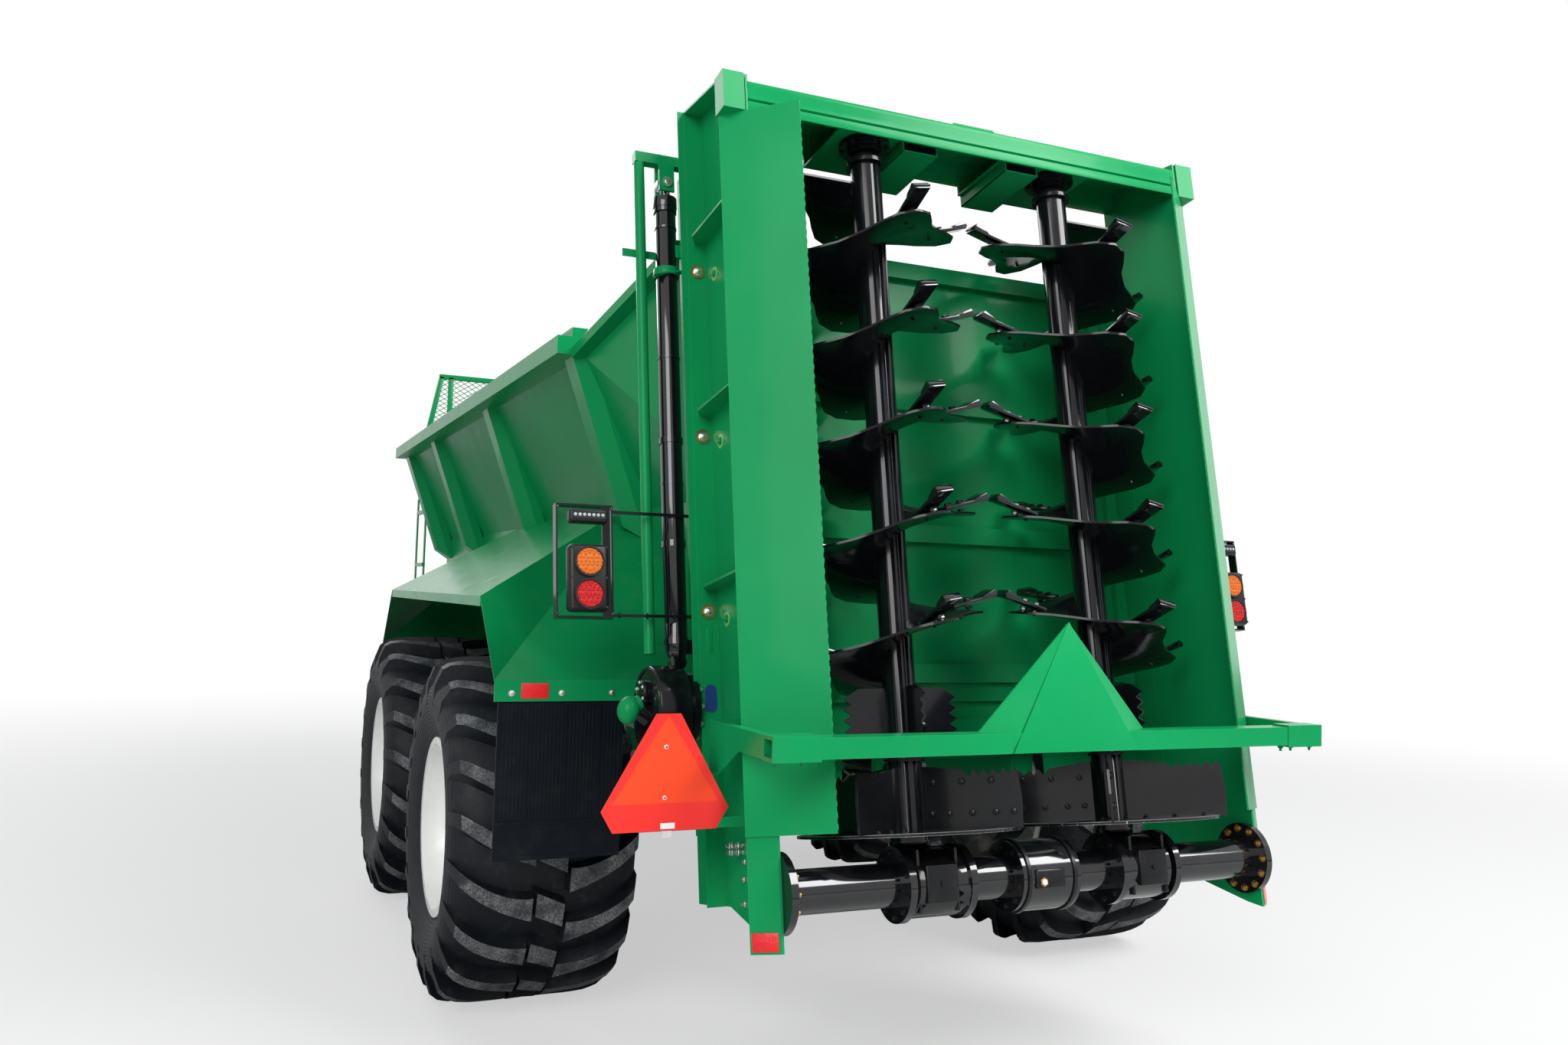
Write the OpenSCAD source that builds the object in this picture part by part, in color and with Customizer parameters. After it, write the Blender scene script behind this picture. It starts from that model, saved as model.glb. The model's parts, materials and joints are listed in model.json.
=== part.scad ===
// Manure spreader: tandem-axle trailed box with two vertical beaters
// X runs forward to the drawbar, Y to the left side, Z up from the ground.
// Stations along X are measured from the foot of the rear side walls (foot_x).

/* [Overall] */
// Length from the spreading discs to the front of the towing ring
overall_l = 9400; // [8800:50:10000]
// Forward lean of the beater housing, in degrees
lean = 10.3; // [8:0.1:12]

/* [Wheels] */
// Outer diameter of a tyre
tyre_d = 1382; // [1300:1:1420]
// Width of a tyre
tyre_w = 730; // [700:1:740]
// Diameter of the rim flange
rim_d = 716; // [700:1:730]
// Distance between the middles of a left and a right tyre
track = 2730; // [2700:10:2760]
// Rear axle, forward of the wall foot
rear_axle = 1770; // [1700:10:1800]
// Distance between the axles
axle_gap = 1880; // [1800:10:1950]
// Height of the axles above the ground
axle_z = 682; // [675:1:688]
// Lugs on one side of a tyre
lug_count = 20; // [16:1:24]

/* [Body] */
// Height of the hopper floor
floor_z = 1290; // [1270:5:1310]
// Half width of the hopper between its upright lower walls
floor_hw = 760; // [740:5:770]
// Height of the fold where the walls start to slope outwards
fold_z = 2040; // [2020:5:2060]
// Half width of the hopper sheet at its rim
rim_hw = 1085; // [1060:1:1095]
// Height of the hopper rim
rim_z = 2700; // [2650:10:2750]
// Front of the body, forward of the wall foot
body_front = 7376; // [7000:10:7500]
// Where the side starts to turn in towards the housing
kink_x = 1930; // [1850:10:2000]
// Thickness of body sheet
sheet = 6; // [5:1:8]

/* [Beater housing] */
// Half distance between the housing walls, at their inner faces
wall_hw = 948; // [940:1:960]
// Depth of a housing wall
wall_deep = 440; // [420:1:450]
// Height of the wall foot above the ground
foot_z = 930; // [910:5:950]
// Height of the housing along its lean
house_h = 2591; // [2550:1:2620]
// Length of the deflector panel along the lean
panel_h = 2448; // [2400:1:2480]

/* [Beaters] */
// Half distance between the beater axes
beat_y = 420; // [418:1:430]
// Beater axis in front of the wall's rear edge
beat_u = 136; // [130:1:150]
// Radius to the blade tips
tip_r = 412; // [380:1:414]
// Pitch of a beater's flight
pitch = 355; // [340:1:365]
// Turns of a flight
turns = 5.25; // [4:0.25:5.25]
// Radius of a spreading disc
disc_r = 370; // [350:1:390]

/* [Door] */
// Height of the door along its lean
door_h = 1800; // [1750:5:1830]
// Thickness of the door with its rails
door_t = 40; // [36:1:44]

/* [Hidden] */
disc_w = -20;
// How far the discs reach back behind the wall foot
rear_reach = (disc_r - beat_u) * cos(lean) - disc_w * sin(lean);
foot_x = -overall_l / 2 + rear_reach;
front_axle = rear_axle + axle_gap;
tyre_y = track / 2;
wall_t = 8;
flange_w = 77;
lip_w = 101;
green = [0.05, 0.45, 0.16];
black = [0.03, 0.03, 0.04];
white = [0.9, 0.9, 0.86];

// Puts its children at the wall foot, on the ground
module at_foot() {
  translate([foot_x, 0, 0]) children();
}
// Puts its children in the housing's leaning frame: u forward, v left, w up along the lean
module leaning() {
  translate([foot_x, 0, foot_z]) rotate([0, lean, 0]) children();
}
// Its children and their mirror image on the right
module both() {
  children();
  mirror([0, 1, 0]) children();
}
// A block given by its low and high corners
module block(lo, hi) {
  translate(lo) cube(hi - lo);
}
// A flat plate in the u-w plane, from v = v0, drawn as [u, w] points
module plate_v(points, v0, t) {
  translate([0, v0 + t, 0]) rotate([90, 0, 0]) linear_extrude(t) polygon(points);
}
// A flat plate in the x-y plane, from z = z0
module plate_z(points, z0, t) {
  translate([0, 0, z0]) linear_extrude(t) polygon(points);
}
// A flat plate in the y-z plane, from x = x0, drawn as [y, z] points
module plate_x(points, x0, t) {
  translate([x0, 0, 0]) rotate([90, 0, 90]) linear_extrude(t) polygon(points);
}
// A folded sheet: corner points, the facets between them, its border, and the step to its other side
module folded(points, facets, border, step) {
  n = len(points);
  m = len(border);
  walls = [for (i = [0:m - 1]) let (p = border[i], q = border[(i + 1) % m]) each [[q, p, p + n], [q, p + n, q + n]]];
  polyhedron(concat(points, [for (p = points) p + step]),
    concat(facets, [for (f = facets) [f[2] + n, f[1] + n, f[0] + n]], walls));
}
// A round bar between two points
module bar(a, b, r) {
  d = b - a;
  translate(a) rotate([0, acos(d[2] / norm(d)), atan2(d[1], d[0])]) cylinder(h = norm(d), r = r, $fn = 32);
}

// Frame rails, their cross-members and the bearers under the floor
rail_y = 430;
rail_half = 50;
rail_h = 250;
rail_top = floor_z - 110;
bearer_h = rail_top - floor_z + 104;
bearer_gap = 980;
first_bearer = 1040;
bearers = [for (i = [0:6]) first_bearer + i * bearer_gap];
module chassis() {
  color(green) at_foot() {
    both() block([700, rail_y - rail_half, rail_top - rail_h], [body_front, rail_y + rail_half, rail_top]);
    for (x = bearers) {
      block([x - 40, -floor_hw - 20, rail_top], [x + 40, floor_hw + 20, floor_z - sheet]);
      block([x - 40, -rail_y + rail_half, rail_top - 90], [x + 40, rail_y - rail_half, rail_top - 10]);
    }
    for (x = hanger_x) both()
      block([x - 72, rail_y - 44, leaf_end_z], [x + 72, rail_y + 44, rail_top - rail_h]);
    // bearings of the drive shaft under the first and the last cross-member
    for (x = [bearers[0], bearers[6]]) difference() {
      block([x - 20, -60, line_z - 60], [x + 20, 60, rail_top - 85]);
      translate([x - 21, 0, line_z]) rotate([0, 90, 0]) cylinder(h = 42, r = line_r + 0.05, $fn = 48);
    }
  }
}

// Leaf springs between the hangers and the axle beams
axle_half = 60;
spring_z = axle_z + axle_half;
spring_half = 470;
hanger_x = [for (x = [rear_axle, front_axle]) for (s = [-1, 1]) x + s * spring_half];
leaf_r = 2400;
leaf_t = 13.7;
// Top of the longest leaf at its ends, where the hangers rest on it
leaf_end_z = spring_z + leaf_r - sqrt(pow(leaf_r - leaf_t, 2) - pow(spring_half - 60, 2)) + 0.3;
module springs() {
  color(black) at_foot() for (x = [rear_axle, front_axle]) both() {
    translate([x, rail_y, spring_z]) {
      for (i = [0:3]) intersection() {
        translate([0, 40, leaf_r]) rotate([90, 0, 0]) difference() {
          cylinder(h = 80, r = leaf_r - 14 * i, $fn = 96);
          translate([0, 0, -1]) cylinder(h = 82, r = leaf_r - 14 * i - leaf_t, $fn = 96);
        }
        block([-spring_half + 60 + 90 * i, -60, -1], [spring_half - 60 - 90 * i, 60, 120]);
      }
      for (s = [-1, 1]) translate([s * (axle_half + 12.3), 0, 0]) block([-12, -70, -134], [12, 70, 80]);
      block([-80, -52, 56], [80, 52, 72]);
      block([-80, -52, -134], [80, 52, -2 * axle_half - 0.3]);
    }
  }
}

// Axle beams with brake drums and spindles
spindle_r = 45;
drum_r = 205;
hub_y = tyre_y - 150;
module axles() {
  color(black) at_foot() for (x = [rear_axle, front_axle]) translate([x, 0, axle_z]) {
    block([-axle_half, -950, -axle_half], [axle_half, 950, axle_half]);
    both() {
      translate([0, 940, 0]) rotate([-90, 0, 0]) cylinder(h = 150, r = drum_r, $fn = 64);
      translate([0, 940, 0]) rotate([-90, 0, 0]) cylinder(h = hub_y + 90 - 940, r = spindle_r, $fn = 48);
      block([-30, 700, 60], [30, 740, 170]);
    }
  }
}

// Places a wheel piece, made with its outer side towards +Y
module at_wheel(x, left) {
  at_foot() translate([x, 0, axle_z]) mirror([0, left ? 0 : 1, 0]) translate([0, tyre_y, 0]) children();
}
rim_w = 650;
rim_r = rim_d / 2;
bead_r = rim_r - 16;
well_r = rim_r - 62;
// Rim with its dish, hub and cap, turning about Y at the origin
module rim() {
  color(white) rotate([-90, 0, 0]) {
    rotate_extrude($fn = 96) polygon([
      [rim_r, rim_w / 2], [rim_r, rim_w / 2 - 9], [bead_r, rim_w / 2 - 14], [bead_r, 190], [well_r, 150],
      [well_r, -150], [bead_r, -190], [bead_r, 14 - rim_w / 2], [rim_r, 9 - rim_w / 2], [rim_r, -rim_w / 2],
      [bead_r - 12, -rim_w / 2], [bead_r - 12, -196], [well_r - 12, -156],
      [well_r - 12, 156], [bead_r - 12, 196], [bead_r - 12, rim_w / 2]]);
    difference() {
      union() {
        rotate_extrude($fn = 96) polygon([
          [60, -70], [170, -70], [well_r - 40, 20], [well_r - 11, 20], [well_r - 11, 34], [well_r - 48, 34],
          [166, -54], [60, -54]]);
        translate([0, 0, -150]) cylinder(h = 130, r = 120, $fn = 64);
      }
      translate([0, 0, -160]) cylinder(h = 160 + 10, r = spindle_r + 0.05, $fn = 48);
    }
    translate([0, 0, -40]) cylinder(h = 70, r = 88, $fn = 48);
    for (i = [0:9]) rotate([0, 0, 36 * i]) translate([140, 0, -54]) cylinder(h = 26, r = 15, $fn = 6);
  }
}
tyre_r = tyre_d / 2;
lug_h = 46;
carcass_r = tyre_r - lug_h;
half_w = tyre_w / 2;
// A side lug seen on the tread, as [across, along] points: it curves back towards the shoulder
lug = [[66, -26], [170, -2], [265, 48], [half_w, 118], [half_w, 176], [250, 112], [150, 64], [62, 42]];
centre = [[-50, -76], [10, -62], [50, -12], [48, 48], [-4, 80], [-54, 22]];
module tyre() {
  color(black) rotate([-90, 0, 0]) {
    rotate_extrude($fn = 96) polygon([
      [bead_r + 1, -rim_w / 2 + 16], [bead_r + 1, -rim_w / 2 + 60], [bead_r + 40, -190], [bead_r + 40, 190],
      [bead_r + 1, rim_w / 2 - 60], [bead_r + 1, rim_w / 2 - 16], [rim_r + 2, rim_w / 2 - 11],
      [rim_r + 40, rim_w / 2 + 12], [480, half_w], [560, half_w - 2], [carcass_r - 30, half_w - 34],
      [carcass_r - 4, half_w - 90], [carcass_r, 0], [carcass_r - 4, 90 - half_w], [carcass_r - 30, 34 - half_w],
      [560, 2 - half_w], [480, -half_w], [rim_r + 40, -rim_w / 2 - 12], [rim_r + 2, 11 - rim_w / 2]]);
    intersection() {
      union() for (i = [0:lug_count - 1]) {
        rotate([0, 0, i * 360 / lug_count]) tread_piece(lug);
        rotate([0, 0, (i + 0.5) * 360 / lug_count]) mirror([0, 0, 1]) tread_piece(lug);
        rotate([0, 0, (i + 0.1) * 360 / lug_count]) tread_piece(centre);
      }
      rotate_extrude($fn = 96) polygon([
        [500, -half_w], [carcass_r - 60, -half_w], [tyre_r - 30, 40 - half_w], [tyre_r, 130 - half_w],
        [tyre_r, half_w - 130], [tyre_r - 30, half_w - 40], [carcass_r - 60, half_w], [500, half_w]]);
    }
  }
}
// A block of tread standing out along +X, its outline given as [across, along]
module tread_piece(outline) {
  translate([carcass_r - 60, 0, 0]) rotate([0, 90, 0]) linear_extrude(lug_h + 70)
    polygon([for (p = outline) [-p[0], -p[1]]]);
}
module rim_rear_left() { at_wheel(rear_axle, true) rim(); }
module rim_rear_right() { at_wheel(rear_axle, false) rim(); }
module rim_front_left() { at_wheel(front_axle, true) rim(); }
module rim_front_right() { at_wheel(front_axle, false) rim(); }
module tyre_rear_left() { at_wheel(rear_axle, true) tyre(); }
module tyre_rear_right() { at_wheel(rear_axle, false) tyre(); }
module tyre_front_left() { at_wheel(front_axle, true) tyre(); }
module tyre_front_right() { at_wheel(front_axle, false) tyre(); }

// Two beams that run together from the frame to the towing ring
ring_x = overall_l - rear_reach - 62;
ring_z = 800;
ring_hole = 25;
nose_x = ring_x - 260;
vee_x = body_front - 500;
vee_angle = atan((rail_y - 55) / (nose_x - vee_x));
module drawbar() {
  color(green) at_foot() {
    both() translate([vee_x, rail_y, ring_z - 80]) rotate([0, 0, -vee_angle])
      block([0, -45, 0], [norm([nose_x - vee_x, rail_y - 55]), 45, 160]);
    both() block([vee_x, rail_y - 45, ring_z + 79], [vee_x + 420, rail_y + 45, rail_top - rail_h]);
    block([nose_x - 380, -110, ring_z - 90], [nose_x, 110, ring_z + 90]);
    block([vee_x + 420, -rail_y + 60, ring_z - 80], [vee_x + 500, rail_y - 60, ring_z + 10]);
    block([nose_x, -90, ring_z - 100], [nose_x + 24, 90, ring_z + 100]);
  }
}
// Forged towing ring on its bolted flange
module towing_ring() {
  color(black) at_foot() {
    difference() {
      union() {
        block([nose_x + 24.2, -80, ring_z - 80], [nose_x + 46, 80, ring_z + 80]);
        translate([nose_x + 46, 0, ring_z]) rotate([0, 90, 0]) cylinder(h = 110, r = 42, $fn = 48);
        translate([ring_x, 0, ring_z - 22]) cylinder(h = 44, r = 62, $fn = 64);
        block([nose_x + 120, -40, ring_z - 22], [ring_x, 40, ring_z + 22]);
      }
      translate([ring_x, 0, ring_z - 40]) cylinder(h = 80, r = ring_hole, $fn = 64);
    }
  }
}

// Floor plate of the hopper
function frame_x(u, z) = u / cos(lean) + (z - foot_z) * tan(lean);
frame_u = 604;
body_rear = frame_x(frame_u + 14, floor_z);
body_end = body_front - 7.3;
module hopper_floor() {
  color(green) at_foot() block([body_rear, 0.3 - floor_hw, floor_z - sheet], [body_end, floor_hw - 0.3, floor_z]);
}

// Side of the hopper: upright lower wall, sloping sheet, folded-in rear corner, ribs and boxed rim
slope = atan((rim_hw - floor_hw) / (rim_z - fold_z));
slope_l = (rim_z - fold_z) / cos(slope);
fold_x = kink_x - 0.835 * (rim_z - fold_z);
turn_y = 930;
rear_top_z = 3000;
rim_in = rim_hw;
rim_out = rim_hw + 136;
rim_low = rim_z + 6;
rim_high = rim_z + 88;
ribs = [2035, 3972, 5935, 7250];
rib_w = 230;
// Outer face of a rib: its distance from the middle at the foot and at the rim
rib_foot = floor_hw + 118;
rib_top = rim_hw + 58;
rib_low_z = fold_z - 90;
rib_lean = atan((rib_top - rib_foot) / (rim_z - rib_low_z));
module on_slope() {
  translate([0, floor_hw, fold_z]) rotate([-slope, 0, 0]) children();
}
// Outline of a rib in the y-z plane, grown outwards by g
function rib_outline(g) = [[floor_hw + 3, rib_low_z - 70 - g], [rib_foot + g, rib_low_z - g], [rib_top + g, rim_z + 8],
  [rim_hw + 3, rim_z + 8], [floor_hw + 3, fold_z]];
module rib(x) {
  intersection() {
    plate_x(rib_outline(0), x - rib_w / 2, rib_w);
    translate([x, rib_foot, rib_low_z]) rotate([-rib_lean, 0, 0]) translate([0, 0, -120]) linear_extrude(1000)
      polygon([[-70, 0], [70, 0], [150, -125], [-150, -125]]);
  }
}
module hopper_side() {
  // the corner sheet runs a little into the sloping and the upright one
  lap = [5, 1, 0];
  a = [kink_x, rim_hw, rim_z] + lap;
  k = [fold_x, floor_hw, fold_z - 5] + lap;
  r = [frame_x(frame_u + 14, fold_z), floor_hw + 1, fold_z - 5];
  c = [frame_x(frame_u + 14, rear_top_z), turn_y, rear_top_z];
  color(green) at_foot() {
    plate_v([[body_rear, floor_z - sheet], [body_end, floor_z - sheet], [body_end, fold_z],
      [r[0], fold_z]],
      floor_hw, sheet);
    on_slope() plate_v([[fold_x, 0], [body_end, 0], [body_end, slope_l + 10], [kink_x, slope_l + 10]], 0, sheet);
    folded([a, k, r, c], [[0, 1, 2], [0, 2, 3]], [0, 1, 2, 3], [0, sheet, 0]);
    block([kink_x, rim_in, rim_low], [body_end, rim_out, rim_high]);
    block([kink_x + 4, rim_in, rim_high], [body_end, rim_in + 70, rim_high + 42]);
    hull() {
      translate(a + [0, -10, -6]) cube([8, 76, 46]);
      translate(c + [10, 2, -20]) cube([8, 76, 40]);
    }
    for (x = ribs) rib(x);
  }
}
module hopper_side_left() { hopper_side(); }
module hopper_side_right() { mirror([0, 1, 0]) hopper_side(); }

// Front wall of the hopper with its stiffeners
module headboard() {
  color(green) at_foot() {
    plate_x([[-floor_hw, floor_z - 100], [floor_hw, floor_z - 100], [floor_hw, fold_z], [rim_hw, rim_z + 90],
      [-rim_hw, rim_z + 90], [-floor_hw, fold_z]], body_front - 7, 7);
    for (z = [1500, 2000, 2500]) block([body_front, -floor_hw, z], [body_front + 60, floor_hw, z + 80]);
    both() block([body_front, 300, floor_z - 340], [body_front + 60, 380, rim_z + 60]);
  }
}
guard_top = 3445;
guard_y = 877;
// Guard of bars above the headboard, its mesh panels between them
module front_guard() {
  base = rim_z + 90.3;
  color(green) at_foot() {
    both() {
      plate_x([[980, base], [1020, base], [guard_y + 20, guard_top], [guard_y - 20, guard_top]], body_front - 47, 40);
      block([body_front - 47, 780, base], [body_front - 7, 820, guard_top - 20]);
      plate_x([[822, base + 20], [968, base + 20], [guard_y - 24, guard_top - 44], [822, guard_top - 44]],
        body_front - 30, 4);
    }
    block([body_front - 47, -guard_y + 10, guard_top - 40], [body_front - 7, guard_y - 10, guard_top]);
    block([body_front - 47, -990, base], [body_front - 7, 990, base + 24]);
    block([body_front - 30, -778, base + 20], [body_front - 26, 778, guard_top - 36]);
  }
}

// Frame at the rear of the hopper: posts that guide the door, and the plate round the opening
post_top = 2480;
post_in = 946;
post_out = 991;
module rear_frame() {
  sill_w = (floor_z - foot_z) / cos(lean) + frame_u * tan(lean) - 6;
  fold_w = (fold_z - foot_z) / cos(lean) + frame_u * tan(lean);
  turn_w = (rear_top_z - foot_z) / cos(lean) + frame_u * tan(lean);
  color(green) leaning() {
    both() block([wall_deep + 1, post_in, -226], [frame_u, post_out, post_top]);
    both() plate_side(sill_w, fold_w, turn_w);
    block([frame_u - 54, -post_in + 1, sill_w - 200], [frame_u + 8, post_in - 1, sill_w - 90]);
    block([frame_u + 0.2, -floor_hw, sill_w - 90], [frame_u + 8, floor_hw, sill_w - 8]);
  }
}
module plate_side(sill_w, fold_w, turn_w) {
  translate([frame_u + 0.2, 0, 0]) rotate([90, 0, 90]) linear_extrude(12)
    polygon([[floor_hw, sill_w], [floor_hw, fold_w], [turn_y, turn_w], [turn_y, post_top], [post_out, post_top], [post_out, 0],
      [rail_y + 60, 0], [rail_y + 60, sill_w - 60], [floor_hw, sill_w - 60]]);
}

// Side wall of the beater housing with its flanges and gussets
fold_angle = 49.6;
roof_front = house_h + wall_deep * tan(lean);
module housing_wall() {
  color(green) leaning() {
    plate_v([[0, -345], [70, -330], [400, -228], [wall_deep, -228], [wall_deep, roof_front], [0, house_h]],
      wall_hw, wall_t);
    // front flange, wider above the floor drive
    block([wall_deep - 8, wall_hw + wall_t, -228], [wall_deep, wall_hw + flange_w, roof_front]);
    block([wall_deep - 4, wall_hw + flange_w - 1, 510], [wall_deep, wall_hw + lip_w, roof_front]);
    // folded strip at the rear edge
    translate([0, wall_hw + wall_t, -345]) rotate([0, 0, fold_angle]) block([0, -8, 0], [100, 0, 345 + panel_h]);
    // gussets behind the deflector panel
    for (w = [833, 1467, 2135])
      plate_z([[wall_deep - 6, wall_hw + 6], [6, wall_hw + 6], [66, wall_hw + 78], [wall_deep - 60, wall_hw + 78],
        [wall_deep - 6, wall_hw + 50]], w, 8);
    // top flange and corner box
    plate_v([[60, house_h + 60 * tan(lean) - 8], [60, house_h + 60 * tan(lean)], [wall_deep - 8, roof_front],
      [wall_deep - 8, roof_front - 8]], wall_hw + 8, flange_w - 8);
    block([-6, wall_hw + 14, panel_h + 0.5], [72, wall_hw + 94, house_h]);
  }
}
module housing_wall_left() {
  housing_wall();
  // bar that carries the warning triangle
  color(green) at_foot() block([160.3, wall_hw + 4, foot_z + 3], [168, 1300, foot_z + 35]);
}
module housing_wall_right() { mirror([0, 1, 0]) housing_wall(); }

// Deflector panels on the rear of the folded strips, standing back and inward from the wall edges
module deflector_panels() {
  color(green) leaning() both()
    translate([0, wall_hw + wall_t, 0]) rotate([0, 0, fold_angle]) block([-192, 0.2, 0], [100, 7, panel_h]);
}

// Beam across the top: folded nose, roof and two open tubes that hold the upper bearings
nose_in = wall_hw - 0.3;
roof_u = wall_deep - 8.2;
roof_rise = roof_u * tan(lean);
nose = [[-4, 0], [roof_u, roof_rise], [roof_u, roof_rise - 160], [roof_u - 62, roof_rise - 160],
  [roof_u - 62, roof_rise - 62 * tan(lean) - 8], [6, -7], [6, -60], [34, -84], [34, -120], [6, -140], [6, -202],
  [60, -202], [60, -210], [-4, -210], [-4, -134], [26, -112], [26, -92], [-4, -66]];
module top_beam() {
  color(green) leaning() {
    translate([0, nose_in, house_h]) rotate([90, 0, 0]) linear_extrude(2 * nose_in) polygon(nose);
    for (y = [-beat_y, beat_y]) for (s = [-1, 1]) translate([64, y + s * 150 - 60, house_h - 68]) difference() {
      cube([wall_deep - 134, 120, 60]);
      translate([-1, 5, 5]) cube([wall_deep - 150, 110, 50]);
    }
  }
}

// Bar across the rear with its sleeves, arms and the splitter between the beaters
bar_z = 1218;
bar_half = 38;
bar_x = -206;
bar_end = 1072;
arm_y = wall_hw + 89.3;
module rear_bar() {
  color(green) at_foot() {
    difference() {
      union() {
        block([bar_x, -bar_end + 1, bar_z - 32], [bar_x + 2 * bar_half - 4, bar_end - 1, bar_z + 32]);
        both() block([bar_x - 3, 915, bar_z - bar_half], [bar_x + 2 * bar_half - 3, bar_end, bar_z + bar_half]);
      }
      block([bar_x + 6, -bar_end - 1, bar_z - 26], [bar_x + 2 * bar_half - 12, bar_end + 1, bar_z + 26]);
    }
    both() {
      // arm outside the folded strip, its foot on the wall and a folded gusset under it
      block([bar_x + 2 * bar_half - 3, arm_y, bar_z - 36], [300, bar_end - 2, bar_z + 36]);
      block([200, wall_hw + wall_t + 0.3, bar_z - 36], [300, arm_y + 1, bar_z + 36]);
      translate([0, 0, bar_z]) plate_v([[60, -35], [300, -35], [300, -130], [220, -130]], bar_end - 8, 6);
      block([222, bar_end - 8, bar_z - 130], [300, bar_end + 48, bar_z - 124]);
    }
    folded([[bar_x + 50, 0, 1600], [bar_x - 2, 252, bar_z - 30], [bar_x - 2, -252, bar_z - 30],
      [bar_x + 68, 330, bar_z + 28], [bar_x + 68, -330, bar_z + 28]],
      [[0, 2, 1], [0, 1, 3], [0, 4, 2]], [1, 2, 4, 0, 3], [7, 0, 0]);
  }
}

// Tube under the beaters with its flanges, beater gearboxes and middle gearbox
tube_u = 52;
tube_w = -173;
tube_r = 69;
stub_u = tube_u + 190;
module gearbox_beam() {
  color(black) leaning() translate([tube_u, 0, tube_w]) {
    rotate([-90, 0, 0]) translate([0, 0, -wall_hw + 0.3]) cylinder(h = 2 * wall_hw - 0.6, r = tube_r, $fn = 64);
    both() {
      translate([0, wall_hw - 24.3, 0]) rotate([-90, 0, 0]) cylinder(h = 24, r = 125, $fn = 64);
      translate([0, beat_y - 118, 0]) rotate([-90, 0, 0]) cylinder(h = 200, r = 108, $fn = 64);
      translate([beat_u - tube_u, beat_y, -40]) cylinder(h = -43 - tube_w + 40, r = 70, $fn = 48);
      for (y = [-130, 94]) translate([0, beat_y + y, 0]) rotate([-90, 0, 0]) cylinder(h = 24, r = 120, $fn = 64);
    }
    translate([0, -114, 0]) rotate([-90, 0, 0]) cylinder(h = 228, r = 116, $fn = 64);
    translate([90, 0, 0]) rotate([0, 90, 0]) cylinder(h = stub_u - tube_u - 90, r = 60, $fn = 48);
  }
}

// Beater shaft with its spreading disc, paddles, cutting plates and upper bearing
beat_r = 57;
paddle_h = 190;
bottom_flight_w = 460;
// A paddle seen from the side: a plate with a saw-toothed outer top edge
tooth = 34;
paddle = concat([[40, -2], [395, -2], [400, 90], [392, paddle_h - 20]],
  [for (i = [0:4]) for (e = [0, 1]) [380 - (i + e / 2) * tooth, paddle_h - (e == 0 ? 0 : 22)]],
  [[205, paddle_h], [40, paddle_h + 20]]);
cutter = concat([[40, 0]], [for (i = [0:3]) for (e = [0, 1]) [e == 0 ? 178 : 205, (i + e / 2) * 36]],
  [[178, 144], [150, 160], [40, 160]]);
module beater() {
  color(black) {
    translate([0, 0, disc_w - 22]) cylinder(h = 26, r = 64, $fn = 48);
    translate([0, 0, disc_w]) cylinder(h = 8, r = disc_r, $fn = 96);
    translate([0, 0, disc_w + 2]) cylinder(h = house_h - 162 - disc_w, r = beat_r, $fn = 48);
    translate([0, 0, house_h - 165]) cylinder(h = 60, r = 30, $fn = 48);
    for (i = [0:3]) rotate([0, 0, 90 * i + 38]) {
      translate([0, 4, disc_w + 8]) rotate([90, 0, 0]) linear_extrude(8) polygon(paddle);
      rotate([0, 0, 45]) translate([0, 4, 300]) rotate([90, 0, 0]) linear_extrude(8) polygon(cutter);
    }
  }
}
module at_beater(left) {
  leaning() mirror([0, left ? 0 : 1, 0]) translate([beat_u, beat_y, 0]) children();
}
module beater_left() { at_beater(true) beater(); }
module beater_right() { at_beater(false) beater(); }

// Scalloped flight: its rim swings in between the four blades of a turn
steps = 32;
flight_t = 8;
flight_in = beat_r + 0.3;
function flight_r(a) = 245 + 105 * pow(abs(cos(2 * a)), 3);
function ring(a, w) = [
  [flight_in * cos(a), flight_in * sin(a), w], [flight_r(a) * cos(a), flight_r(a) * sin(a), w],
  [flight_r(a) * cos(a), flight_r(a) * sin(a), w + flight_t], [flight_in * cos(a), flight_in * sin(a), w + flight_t]];
module flight() {
  n = turns * steps;
  points = [for (i = [0:n]) each ring(i * 360 / steps, bottom_flight_w + i * pitch / steps)];
  quads = [for (i = [0:n - 1]) for (k = [0:3])
    [4 * i + k, 4 * i + (k + 1) % 4, 4 * i + 4 + (k + 1) % 4, 4 * i + 4 + k]];
  sides = [for (q = quads) each [[q[0], q[1], q[2]], [q[0], q[2], q[3]]]];
  color(black) polyhedron(points, concat([[3, 2, 1, 0]], sides, [[4 * n, 4 * n + 1, 4 * n + 2, 4 * n + 3]]));
}
blade_in = 225;
blade_tilt = 15;
module blades() {
  color(black) for (i = [0:4 * turns - 1])
    rotate([0, 0, 90 * i]) translate([0, 0, bottom_flight_w + i * pitch / 4 + flight_t + 4]) rotate([11, 0, 0])
      translate([blade_in, 0, 0]) rotate([0, -blade_tilt, 0])
        block([0, -32, 0], [(tip_r - blade_in - 4) / cos(blade_tilt), 32, 12]);
}
module blades_left() { at_beater(true) blades(); }
module blades_right() { at_beater(false) blades(); }
module flight_left() { at_beater(true) flight(); }
module flight_right() { at_beater(false) flight(); }

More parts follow.
